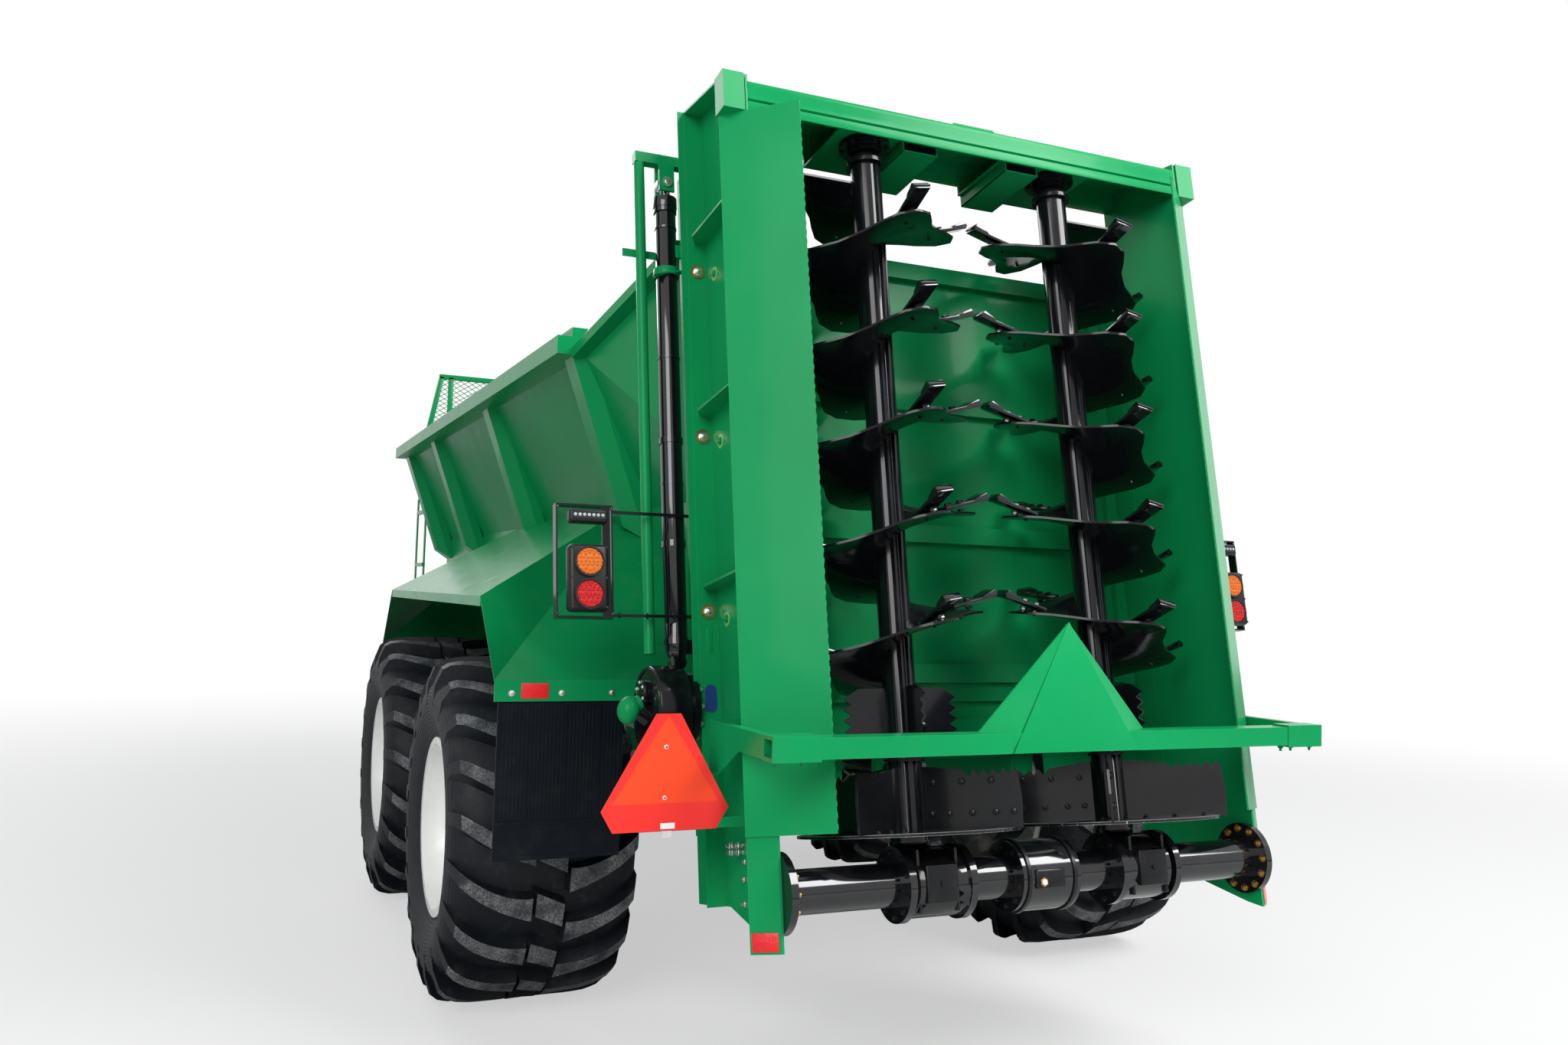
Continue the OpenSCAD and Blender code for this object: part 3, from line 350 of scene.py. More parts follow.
# dark blue for the inside of the flange holes, painted shade
blueInside = paint("blueInside", (0.012, 0.04, 0.2), (0.01, 0.05, 0.1), wearAndHighlight=0.1, wave=0.1, dust=0.1, rough=0.4)
zinc = metal("zinc", (0.74, 0.74, 0.73), 0.2)
brass = metal("brass", (0.52, 0.33, 0.10), 0.26)
# pale steel for the beater discs' edges, a painted highlight
wornSteel = metal("wornSteel", (0.42, 0.42, 0.43), 0.28)
chromeRod = metal("chromeRod", (0.62, 0.63, 0.65), 0.02)
redLens = lens("redLens", (0.55, 0.003, 0.005))
redReflector = lens("redReflector", (0.9, 0.014, 0.016), 420.0)
amberLens = lens("amberLens", (0.72, 0.15, 0.006))
clearLens = lens("clearLens", (0.55, 0.57, 0.6))
darkGlass = lens("darkGlass", (0.012, 0.013, 0.015), 90.0)
rearTyre = makeTyre("rearTyre", axleSet["rearX"])
frontTyre = makeTyre("frontTyre", axleSet["frontX"])
wornTread = makeTread()
print("materials done")

finish = {"green_paint": greenPaint, "black_paint": blackPaint, "white_paint": rimPaint, "tyre": rearTyre,
          "rubber": flapRubber, "lamp_plastic": lampPlastic, "chrome": chromeRod, "zinc": zinc,
          "black_plastic": shaftPlastic, "orange_sheet": orangeSheet}
slotOf = {part["node"]: part["material_slot"] for part in frame["record"]["subparts"]}
for nodeName, thing in nodes.items():
    thing.data.materials.clear()
    thing.data.materials.append(frontTyre if nodeName.startswith("tyre_front") else finish[slotOf[nodeName]])

# helpers for the pieces: millimetres from the foot of the rear walls, upright or along the lean
rearSet = {"x": -4.466195, "z": 0.93, "lean": 10.3}
toMetres = Matrix.Scale(0.001, 4)
footPlace = Matrix.Translation((rearSet["x"], 0, 0)) @ toMetres
leanPlace = (Matrix.Translation((rearSet["x"], 0, rearSet["z"]))
             @ Matrix.Rotation(math.radians(rearSet["lean"]), 4, "Y") @ toMetres)


def tint(verts, shade):
    for vert in verts:
        for face in vert.link_faces:
            face.material_index = shade
    return verts


def onlyVerts(geom):
    return [item for item in geom if isinstance(item, bmesh.types.BMVert)]


def aimed(middle, way):  # a place whose own Z runs along a direction
    return Matrix.Translation(middle) @ Vector(way).to_track_quat("Z", "Y").to_matrix().to_4x4()


def addBlock(bm, low, high, shade=0, turn=None):
    size = [b - a for a, b in zip(low, high)]
    middle = Matrix.Translation([(a + b) / 2 for a, b in zip(low, high)])
    place = (turn or Matrix.Identity(4)) @ middle @ Matrix.Diagonal((*size, 1))
    return tint(bmesh.ops.create_cube(bm, size=1, matrix=place)["verts"], shade)


def addRod(bm, start, end, radius, sides=20, shade=0, turn=None, tip=None):  # tip is the radius at the end
    start, end = Vector(start), Vector(end)
    way = end - start
    place = (turn or Matrix.Identity(4)) @ aimed((start + end) / 2, way)
    made = bmesh.ops.create_cone(bm, cap_ends=True, segments=sides, radius1=radius,
                                 radius2=radius if tip is None else tip, depth=way.length, matrix=place)
    return tint(made["verts"], shade)


def addBeam(bm, start, end, wide, deep, shade=0):  # a square bar between two points
    start, end = Vector(start), Vector(end)
    way = end - start
    place = aimed((start + end) / 2, way) @ Matrix.Diagonal((wide, deep, way.length, 1))
    return tint(bmesh.ops.create_cube(bm, size=1, matrix=place)["verts"], shade)


def addRing(bm, middle, way, inner, outer, height, sides=64, shade=0):  # a flat ring with its hole
    place = aimed(middle, way)
    corners = ((inner, 0), (outer, 0), (outer, height), (inner, height))
    first = [bm.verts.new(place @ Vector((radius, 0, up))) for radius, up in corners]
    edges = [bm.edges.new((first[i], first[(i + 1) % 4])) for i in range(4)]
    bmesh.ops.spin(bm, geom=first + edges, cent=place @ Vector(), axis=place.to_3x3() @ Vector((0, 0, 1)),
                   angle=math.tau, steps=sides, use_merge=True)
    ring = set(first)
    grow = list(first)
    while grow:  # every vert of the ring
        vert = grow.pop()
        for edge in vert.link_edges:
            other = edge.other_vert(vert)
            if other not in ring:
                ring.add(other)
                grow.append(other)
    return tint(list(ring), shade)


def addBolt(bm, seat, way, size, shade=0, stud=0.35):  # washer, hexagon and thread end
    seat, way = Vector(seat), Vector(way).normalized()
    at = seat + way * size * 0.16
    top = at + way * size * 0.6
    addRod(bm, seat, at, size * 1.25, 20, shade)
    addRod(bm, at, top, size, 6, shade)
    addRod(bm, top, at + way * size * 0.72, size * 0.86, 12, shade, tip=size * 0.6)
    if stud:
        addRod(bm, top, at + way * size * (0.72 + stud), size * 0.5, 12, shade)


def addBoltCircle(bm, middle, way, radius, count, size, shade=0, stud=0.2, start=0.0):  # about Y or Z
    across = 2 if way[1] else 1
    for k in range(count):
        turn = math.tau * (k + start) / count
        seat = list(middle)
        seat[0] += radius * math.cos(turn)
        seat[across] += radius * math.sin(turn)
        addBolt(bm, seat, way, size, shade, stud)


def roundEdges(bm, width, segments=2, verts=None):
    edges = [e for e in bm.edges if len(e.link_faces) == 2 and e.calc_face_angle(0) > 0.6
             and (verts is None or (e.verts[0] in verts and e.verts[1] in verts))]
    bmesh.ops.bevel(bm, geom=edges, offset=width, affect="EDGES", segments=segments, profile=0.5, material=-1,
                    clamp_overlap=True)


def finishPiece(name, bm, materials, body="machine", place=leanPlace, both=False, sharp=35, instead=()):
    if both:  # the same on the right
        copied = bmesh.ops.duplicate(bm, geom=bm.verts[:] + bm.edges[:] + bm.faces[:])["geom"]
        bmesh.ops.scale(bm, vec=(1, -1, 1), verts=onlyVerts(copied))
        bmesh.ops.reverse_faces(bm, faces=[item for item in copied if isinstance(item, bmesh.types.BMFace)])
    bmesh.ops.transform(bm, matrix=place, verts=bm.verts)
    bmesh.ops.recalc_face_normals(bm, faces=bm.faces)
    mesh = bpy.data.meshes.new(name)
    bm.to_mesh(mesh)
    bm.free()
    for material in materials:
        mesh.materials.append(material)
    mesh.shade_smooth()
    mesh.set_sharp_from_angle(angle=math.radians(sharp))
    piece = bpy.data.objects.new(name, mesh)
    bpy.context.scene.collection.objects.link(piece)
    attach(piece, body)
    if instead:
        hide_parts(*instead)
    return piece


def smoothCopy(nodeName, body, material, sharp=30):  # a merged copy of a node without its small facets
    pieceName = "smooth" + nodeName.title().replace("_", "")
    bm = bmesh.new()
    bm.from_mesh(nodes[nodeName].data)
    bmesh.ops.remove_doubles(bm, verts=bm.verts, dist=0.00002)
    bmesh.ops.dissolve_degenerate(bm, edges=bm.edges, dist=0.00001)
    bmesh.ops.dissolve_limit(bm, angle_limit=math.radians(0.4), verts=bm.verts, edges=bm.edges)
    finishPiece(pieceName, bm, [material], body, Matrix.Identity(4), sharp=sharp, instead=(nodeName,))


# fasteners and small fittings of the beater housing
nutSet = {"u": 432, "y": 990, "w": (2024, 1390, 758), "size": 14, "stud": 0.7, "plateR": 27, "plate": 4}
screwSet = {"u": 345, "y": 953.5, "drop": 38, "size": 13, "padInner": 15, "padOuter": 26, "pad": 4}


def makeWallNuts():  # nuts on their round plates, and painted screws on the web beside them
    bm = bmesh.new()
    u, y = nutSet["u"], nutSet["y"]
    seat = u - nutSet["plate"]
    for w in nutSet["w"]:
        addRod(bm, (u, y, w), (seat, y, w), nutSet["plateR"], 36, 1)
        addBolt(bm, (seat, y, w), (-1, 0, 0), nutSet["size"], stud=nutSet["stud"])
    finishPiece("wallNuts", bm, [zinc, brass], both=True)
    bm = bmesh.new()
    for w in nutSet["w"]:
        at = (screwSet["u"], screwSet["y"], w - screwSet["drop"])
        addRing(bm, at, (0, 1, 0), screwSet["padInner"], screwSet["padOuter"], screwSet["pad"], 40, 1)
        addBolt(bm, at, (0, 1, 0), screwSet["size"], stud=0.3)
    finishPiece("wallScrews", bm, [greenPaint, paleGreen], both=True)


slotSet = {"low": 616, "high": 703, "half": 11, "thick": 3, "round": 2.2,
           "ovalLow": 409, "ovalHigh": 505, "ovalR": 22, "ovalOut": 1.2, "ovalRim": 3}


def makeWallSlots():  # a flat plug, and a long round hole low on each rear flange, drawn flat with its inside as painted shade
    bm = bmesh.new()
    u, y, half = nutSet["u"], nutSet["y"], slotSet["half"]
    addBlock(bm, (u - slotSet["thick"], y - half, slotSet["low"]), (u, y + half, slotSet["high"]))
    roundEdges(bm, slotSet["round"])
    middle = (slotSet["ovalLow"] + slotSet["ovalHigh"]) / 2
    apart = (slotSet["ovalHigh"] - slotSet["ovalLow"]) / 2 - slotSet["ovalR"]
    place = Matrix.Translation((u - slotSet["ovalOut"], y, middle)) @ Matrix.Rotation(math.pi / 2, 4, "Y")
    rim = bmesh.ops.create_circle(bm, segments=32, radius=slotSet["ovalR"], matrix=place, cap_ends=True)["verts"]
    for vert in rim:  # two half circles drawn apart
        vert.co.z += apart if vert.co.z > middle else -apart
    face = rim[0].link_faces[0]
    bmesh.ops.inset_region(bm, faces=[face], thickness=slotSet["ovalRim"], use_even_offset=True)
    # the hole's inside is a flat dark-blue face: painted shade
    face.material_index = 1
    finishPiece("wallSlots", bm, [greenPaint, blueInside], both=True)


studSet = {"u": 268, "start": 953, "end": 1018, "radius": 6, "w": (-30, -50), "nutY": (953.5, 978, 1000), "nut": 11,
           "boltY": 953.5, "bolt": 12, "boltAt": ((256, -80), (268, -136), (268, -212), (90, -290))}


def makeFootStuds():  # studs at the foot of each wall and the bolts along its lower edge
    bm = bmesh.new()
    u = studSet["u"]
    for w in studSet["w"]:
        addRod(bm, (u, studSet["start"], w), (u, studSet["end"], w), studSet["radius"], 12)
        for y in studSet["nutY"]:
            addBolt(bm, (u, y, w), (0, 1, 0), studSet["nut"], stud=0)
    for boltU, w in studSet["boltAt"]:
        addBolt(bm, (boltU, studSet["boltY"], w), (0, 1, 0), studSet["bolt"], stud=0.9)
    finishPiece("footStuds", bm, [zinc], both=True)


stripSet = {"y": 956, "turn": 49.6, "reflectorLow": (8, 0.2, -338), "reflectorHigh": (94, 2.6, -282)}
weldSet = {"edge": -192, "out": 3.6, "radius": 2.6, "low": 12, "run": 2430, "step": 34, "length": 16}


def makeStripPieces():  # reflectors low on the folded strips, and the weld beads along the panels
    strip = Matrix.Translation((0, stripSet["y"], 0)) @ Matrix.Rotation(math.radians(stripSet["turn"]), 4, "Z")
    bm = bmesh.new()
    addBlock(bm, stripSet["reflectorLow"], stripSet["reflectorHigh"], turn=strip)
    roundEdges(bm, 1)
    finishPiece("stripReflectors", bm, [redReflector], both=True)
    bm = bmesh.new()
    edge, out = weldSet["edge"], weldSet["out"]
    for step in range(int(weldSet["run"] / weldSet["step"])):
        w = weldSet["low"] + step * weldSet["step"]
        addRod(bm, (edge, out, w), (edge, out, w + weldSet["length"]), weldSet["radius"], 8, turn=strip)
    finishPiece("panelWelds", bm, [greenPaint], both=True)


handleSet = {"u": 40, "left": 80, "right": -103, "low": 2574, "high": 2592, "bend": 0.35, "radius": 7}


def makeRoofHandle():  # a bent rod on the roof
    bm = bmesh.new()
    u, left, right, low, high = (handleSet[key] for key in ("u", "left", "right", "low", "high"))
    bend = (high - low) * handleSet["bend"]
    route = ((u, left, low), (u, left, high - bend), (u, left - bend, high),
             (u, right + bend, high), (u, right, high - bend), (u, right, low))
    for a, b in zip(route, route[1:]):
        addRod(bm, a, b, handleSet["radius"], 14)
    for point in route[1:-1]:
        bmesh.ops.create_icosphere(bm, subdivisions=2, radius=handleSet["radius"], matrix=Matrix.Translation(point))
    finishPiece("roofHandle", bm, [greenPaint])


tubeSet = {"u": 52, "w": -173, "wallY": 923.5, "wallR": 105, "boxY": (290, 538), "boxR": 100,
           "middleY": 114, "middleR": 94, "collarY": 90, "collarWide": 12, "collarInner": 110, "collarOuter": 122}
gearboxSet = {
    "y": 420, "backBoss": (-66, -30, 58, -232, -112), "frontBoss": (100, 172, 70, -120, -66),  # u, u, half, w, w
    "rib": (-40, 150, -262, -62), "ribY": 70, "ribHalf": 6,
    "coverLow": (-72, -46, -214), "coverHigh": (-40, 70, -150), "round": 9, "coverRound": 8,
}
plugSet = {"oilU": -72, "oilY": 46, "oilW": -192, "boxU": -66, "boxW": -172}


def makeTubeFittings():
    u, w = tubeSet["u"], tubeSet["w"]
    bm = bmesh.new()  # bolts of the flanges at the walls, the beater gearboxes and the middle one
    addBoltCircle(bm, (u, tubeSet["wallY"], w), (0, -1, 0), tubeSet["wallR"], 12, 11, 1, 0.3)
    for y, way in zip(tubeSet["boxY"], (-1, 1)):
        addBoltCircle(bm, (u, y, w), (0, way, 0), tubeSet["boxR"], 10, 8, start=0.5)
    addBoltCircle(bm, (u, tubeSet["middleY"], w), (0, 1, 0), tubeSet["middleR"], 10, 8, start=0.5)
    finishPiece("tubeBolts", bm, [blackPaint, brass], both=True)
    bm = bmesh.new()
    for y in (-gearboxSet["y"], gearboxSet["y"]):  # cast bosses and ribs of the gearboxes
        for boss in ("backBoss", "frontBoss"):
            back, front, half, low, high = gearboxSet[boss]
            addBlock(bm, (back, y - half, low), (front, y + half, high))
        back, front, low, high = gearboxSet["rib"]
        for s in (-gearboxSet["ribY"], gearboxSet["ribY"]):
            addBlock(bm, (back, y + s - gearboxSet["ribHalf"], low), (front, y + s + gearboxSet["ribHalf"], high))
    roundEdges(bm, gearboxSet["round"], 3)
    cover = addBlock(bm, gearboxSet["coverLow"], gearboxSet["coverHigh"])
    roundEdges(bm, gearboxSet["coverRound"], 3, set(cover))
    inner, outer, wide = tubeSet["collarInner"], tubeSet["collarOuter"], tubeSet["collarWide"]
    for y in (-tubeSet["collarY"], tubeSet["collarY"]):
        addRing(bm, (u, y - wide / 2, w), (0, 1, 0), inner, outer, wide, 48)
    finishPiece("gearboxBosses", bm, [castBlack])
    bm = bmesh.new()
    u, y, w = plugSet["oilU"], plugSet["oilY"], plugSet["oilW"]
    addRod(bm, (u, y, w), (u - 7, y, w), 15, 6, 0)
    addRod(bm, (u - 7, y, w), (u - 10, y, w), 9, 20, 1)
    u, w = plugSet["boxU"], plugSet["boxW"]
    for y in (gearboxSet["y"], -gearboxSet["y"]):
        addRod(bm, (u, y, w), (u - 6, y, w), 10, 6, 2)
    finishPiece("oilPlugs", bm, [brass, whitePaint, blackPaint])


sleeveSet = {"x": -171, "y": (915, 962, 1052), "z": 1180, "size": 9}
splitterSet = {"plate": ((-158, 0, 1602), (-217, 246, 1188), (-217, -246, 1188)), "thick": (6, 0, 0), "round": 1.2}


def makeBarFittings():  # studs under the bar's sleeves, and the splitter's front plate
    bm = bmesh.new()
    for y in sleeveSet["y"]:
        addBolt(bm, (sleeveSet["x"], y, sleeveSet["z"]), (0, 0, -1), sleeveSet["size"], stud=1.0)
    finishPiece("sleeveStuds", bm, [greenPaint], place=footPlace, both=True)
    bm = bmesh.new()
    plate = bm.faces.new([bm.verts.new(point) for point in splitterSet["plate"]])
    pulled = bmesh.ops.extrude_face_region(bm, geom=[plate], use_keep_orig=True)["geom"]
    bmesh.ops.translate(bm, vec=splitterSet["thick"], verts=onlyVerts(pulled))
    bmesh.ops.recalc_face_normals(bm, faces=bm.faces)
    roundEdges(bm, splitterSet["round"])
    finishPiece("splitterFront", bm, [greenPaint], place=footPlace)


# beaters: smooth flights, bolted blades, disc rims and bolted paddles
beaterSet = {"u": 136, "y": 420, "discR": 369.0, "discW": -20, "rimWide": 48, "rimThick": 9}
bladeSet = {"bottom": 460, "pitch": 355, "count": 21, "inner": 225, "tip": 412, "tilt": 15, "twist": 11,
            "wide": 64, "thick": 12, "edge": 74, "boltX": (26, 78), "headSize": 13, "nutSize": 12}
paddleSet = {"turn": 38, "bottomX": (90, 150, 230, 310, 370), "bottomW": 40, "topX": (100, 200, 300), "topW": 140,
             "discX": (120, 220, 320), "size": 11, "discSize": 10,
             "shaftR": 57.2, "lowCollar": (214, 70, 10), "highCollar": (2396, 74, 14)}  # w, radius, height


def beaterPlace(left):
    mirror = Matrix.Diagonal((1, 1 if left else -1, 1, 1))
    return leanPlace @ mirror @ Matrix.Translation((beaterSet["u"], beaterSet["y"], 0))


def makeBlades(side, body, place):  # flat bars with a hard edge, a quarter turn apart up the flight
    bm = bmesh.new()
    tilt, inner, edge = math.radians(bladeSet["tilt"]), bladeSet["inner"], bladeSet["edge"]
    reach = (bladeSet["tip"] - inner - 4) / math.cos(tilt)
    half, thick = bladeSet["wide"] / 2, bladeSet["thick"]
    for k in range(bladeSet["count"]):
        w = bladeSet["bottom"] + k * bladeSet["pitch"] / 4 + 12
        turn = (Matrix.Rotation(math.radians(90 * k), 4, "Z") @ Matrix.Translation((0, 0, w))
                @ Matrix.Rotation(math.radians(bladeSet["twist"]), 4, "X")
                @ Matrix.Translation((inner, 0, 0)) @ Matrix.Rotation(-tilt, 4, "Y"))
        back = turn.inverted()
        bar = addBlock(bm, (0, -half, 0), (reach - 6, half, thick), turn=turn)
        tip = addBlock(bm, (reach - edge, -half - 1, thick * 0.6), (reach, half + 1, thick + 9), turn=turn)
        upper = [v for v in tip if (back @ v.co).z > thick]
        corner = [v for v in upper if (back @ v.co).x > reach - 1]
        foot = [v for v in upper if (back @ v.co).x < reach - edge + 4]
        bmesh.ops.translate(bm, vec=turn.to_3x3() @ Vector((-12, 0, 7)), verts=corner)
        bmesh.ops.translate(bm, vec=turn.to_3x3() @ Vector((16, 0, -3)), verts=foot)
        roundEdges(bm, 1.6, 2, set(bar) | set(tip))
        up = turn.to_3x3() @ Vector((0, 0, 1))
        for x in bladeSet["boltX"]:
            addBolt(bm, turn @ Vector((x, 0, thick)), up, bladeSet["headSize"], stud=0)
            addBolt(bm, turn @ Vector((x, 0, -9)), -up, bladeSet["nutSize"], stud=0.5)
    finishPiece("bladeBars" + side.title(), bm, [tubeBlack], body, place, instead=("blades_" + side,))


def makePaddleBolts(side, body, place):  # two rows on each paddle, one on the disc, and the shaft's collars
    bm = bmesh.new()
    for k in range(4):
        turn = Matrix.Rotation(math.radians(90 * k + paddleSet["turn"]), 4, "Z")
        out = turn.to_3x3() @ Vector((0, -1, 0))
        for row in ("bottom", "top"):
            for x in paddleSet[row + "X"]:
                addBolt(bm, turn @ Vector((x, -4, paddleSet[row + "W"])), out, paddleSet["size"], stud=0.3)
        for x in paddleSet["discX"]:
            addBolt(bm, turn @ Vector((x, 30, -12)), (0, 0, 1), paddleSet["discSize"], stud=0.3)
    for w, outer, height in (paddleSet["lowCollar"], paddleSet["highCollar"]):
        addRing(bm, (0, 0, w), (0, 0, 1), paddleSet["shaftR"], outer, height, 48)
    finishPiece("paddleBolts" + side.title(), bm, [blackPaint], body, place)


def makeBeater(left):
    side, body = ("left", "beater_l") if left else ("right", "beater_r")
    place = beaterPlace(left)
    makeBlades(side, body, place)
    bm = bmesh.new()  # the disc's edge as a pale steel band, a painted highlight
    radius, thick = beaterSet["discR"], beaterSet["rimThick"]
    addRing(bm, (0, 0, beaterSet["discW"] - 0.5), (0, 0, 1), radius - beaterSet["rimWide"], radius + 0.8, thick, 128)
    finishPiece("discRim" + side.title(), bm, [wornSteel], body, place)
    makePaddleBolts(side, body, place)
    smoothCopy("flight_" + side, body, blackPaint, 50)
    smoothCopy("beater_" + side, body, beaterBlack, 10)


bearingSet = {"inner": 31.5, "plateW": 2470, "plateR": 96, "plate": 21.5, "neckW": 2446, "neckR": 64, "neck": 25,
              "boltR": 82, "bolts": 6, "boltSize": 8}


def makeUpperBearings():
    bm = bmesh.new()
    u, w, inner = beaterSet["u"], bearingSet["plateW"], bearingSet["inner"]
    for y in (-beaterSet["y"], beaterSet["y"]):
        addRing(bm, (u, y, w), (0, 0, 1), inner, bearingSet["plateR"], bearingSet["plate"], 64)
        addRing(bm, (u, y, bearingSet["neckW"]), (0, 0, 1), inner, bearingSet["neckR"], bearingSet["neck"], 56)
        addBoltCircle(bm, (u, y, w), (0, 0, -1), bearingSet["boltR"], bearingSet["bolts"], bearingSet["boltSize"])
    finishPiece("upperBearings", bm, [blackPaint])


roofSet = {
    "half": 947.7, "top": 2591, "back": (16, -15), "front": 431.8, "rise": 78.47, "lip": 62, "lipDrop": 101,
    "nose": ((40, -19), (40, -100), (10, -100), (10, -136), (0, -136), (0, -101), (8, -98), (-4, -94), (3, -66),
             (-4, -46), (0, -26)),
    "round": 2.5,
    "plateU": 36, "plateY": (140, 560), "plateW": 2492, "plate": 8,
    "carrier": 370.8, "carrierThick": 9, "carrierTop": 2576,
    "tubeY": (152, 302), "tubeU": 50, "tubeW": (2445, 2493), "wall": 5,
}


def makeRoofBeam():  # folded nose and roof, the bearing plates and the two open tubes, each with a black plate set inside as painted shade
    bm = bmesh.new()
    front, rise = roofSet["front"], roofSet["rise"]
    lip, lipLow = front - roofSet["lip"], rise - roofSet["lipDrop"]
    outline = (roofSet["back"], (front, rise - 18), (front, lipLow), (lip, lipLow), (lip, rise - 38)) + roofSet["nose"]
    face = bm.faces.new([bm.verts.new((u, -roofSet["half"], roofSet["top"] + w)) for u, w in outline])
    pulled = bmesh.ops.extrude_face_region(bm, geom=[face])["geom"]
    bmesh.ops.translate(bm, vec=(0, 2 * roofSet["half"], 0), verts=onlyVerts(pulled))
    roundEdges(bm, roofSet["round"])
    end, wall, back, plateW = roofSet["carrier"], roofSet["wall"], roofSet["tubeU"], roofSet["plateW"]
    bottom, over = roofSet["tubeW"]
    for s in (1, -1):
        a, b = sorted(s * y for y in roofSet["plateY"])
        addBlock(bm, (roofSet["plateU"], a, plateW), (end, b, plateW + roofSet["plate"]))
        addBlock(bm, (end - roofSet["carrierThick"], a, plateW), (end, b, roofSet["carrierTop"]))
        a, b = sorted(s * y for y in roofSet["tubeY"])
        addBlock(bm, (back, a, bottom), (end, b, bottom + wall))
        addBlock(bm, (back, a, over - wall), (end, b, over))
        addBlock(bm, (back, a, bottom), (end, a + wall, over))
        addBlock(bm, (back, b - wall, bottom), (end, b, over))
        # a black plate just inside each tube end: painted shade of its hollow
        addBlock(bm, (back + 5, a + wall, bottom + wall), (back + 9, b - wall, over - wall), 1)
    finishPiece("roofBeam", bm, [greenPaint, blackPaint], instead=("top_beam",))


# warning triangle, lamps, fender fittings, mudflaps
signSet = {
    "y": 1262, "z": 932, "x": 158, "thick": 2, "rim": 3, "film": 0.6,
    "outline": ((-168, 0), (168, 0), (206, 65), (40, 357), (-40, 357), (-206, 65)),
    "middle": ((-172, 84), (172, 84), (0, 351)),
    "label": (-30, 16, 6, 24), "tongue": (-20, 12, -20, 8),  # low and high Y, low and high Z
    "screwY": 5, "screwZ": (100, 255), "screwR": 8,
}


def makeSign():
    bm = bmesh.new()
    x, y, z = signSet["x"], signSet["y"], signSet["z"]
    face = bm.faces.new([bm.verts.new((x + signSet["thick"], y + a, z + b)) for a, b in signSet["outline"]])
    bm.normal_update()
    rim = bmesh.ops.inset_region(bm, faces=[face], thickness=signSet["rim"], use_even_offset=True)["faces"]
    for ring in rim:
        ring.material_index = 2
    pulled = bmesh.ops.extrude_face_region(bm, geom=bm.faces[:], use_keep_orig=True)["geom"]
    bmesh.ops.translate(bm, vec=(-signSet["thick"], 0, 0), verts=onlyVerts(pulled))
    face = bm.faces.new([bm.verts.new((x, y + a, z + b)) for a, b in signSet["middle"]])
    face.material_index = 1
    pulled = bmesh.ops.extrude_face_region(bm, geom=[face])["geom"]
    bmesh.ops.translate(bm, vec=(-signSet["film"], 0, 0), verts=onlyVerts(pulled))
    left, right, low, high = signSet["label"]
    addBlock(bm, (x - 1.2, y + left, z + low), (x, y + right, z + high), 3)
    left, right, low, high = signSet["tongue"]
    addBlock(bm, (x + 0.4, y + left, z + low), (x + 1.6, y + right, z + high), 4)
    screwY = y + signSet["screwY"]
    for up in signSet["screwZ"]:
        addRod(bm, (x, screwY, z + up), (x - 3, screwY, z + up), signSet["screwR"], 20, 4, tip=5.5)
        # a thin black hexagon on each head stands for its socket: painted shade
        addRod(bm, (x - 3, screwY, z + up), (x - 3.4, screwY, z + up), 3, 6, 5)
    finishPiece("triangleSign", bm, [signBorder, signOrange, signLine, whitePaint, zinc, blackPaint],
                place=footPlace, instead=("warning_triangle",))


lampSet = {
    "y": 1413, "boxLow": (426, 1344, 752), "boxHigh": (485.7, 1482, 980), "boxRound": 16,
    "lensU": 426.3, "lensFront": 420, "lensW": (808, 919), "lensR": 48,
    "optics": ((0, 1), (14, 6), (28, 12), (40, 18)), "opticFront": 417, "opticR": 5.6, "opticTip": 2.4,
    "boxScrewY": (1354, 1472), "boxScrewW": (764, 864, 968),
    "barLow": (440, 1342, 1058), "barHigh": (485.7, 1474, 1104), "barRound": 8,
    "glassLow": (438.5, 1350, 1070), "glassHigh": (441, 1466, 1096),
    "lights": 7, "lightY": 1360, "lightStep": 16, "lightW": 1083,
    "frameU": 486, "frameY": (1318, 1506), "frameW": (750, 1118),
    "tieU": 521, "tieY": (1080, 1180, 1280), "tieW": 752,
}


def addLens(bm, w, shade):  # a round lens in its rim, with rings of small optics
    seat, front, y, radius = lampSet["lensU"], lampSet["lensFront"], lampSet["y"], lampSet["lensR"]
    addRing(bm, (seat, y, w), (-1, 0, 0), radius - 2, radius + 4, 9, 48)
    addRod(bm, (seat, y, w), (front, y, w), radius - 1, 48, shade, tip=radius - 4)
    for ring, count in lampSet["optics"]:
        for k in range(count):
            turn = math.tau * k / count
            at = (front, y + ring * math.cos(turn), w + ring * math.sin(turn))
            out = (lampSet["opticFront"], at[1], at[2])
            addRod(bm, at, out, lampSet["opticR"], 10, shade, tip=lampSet["opticTip"])


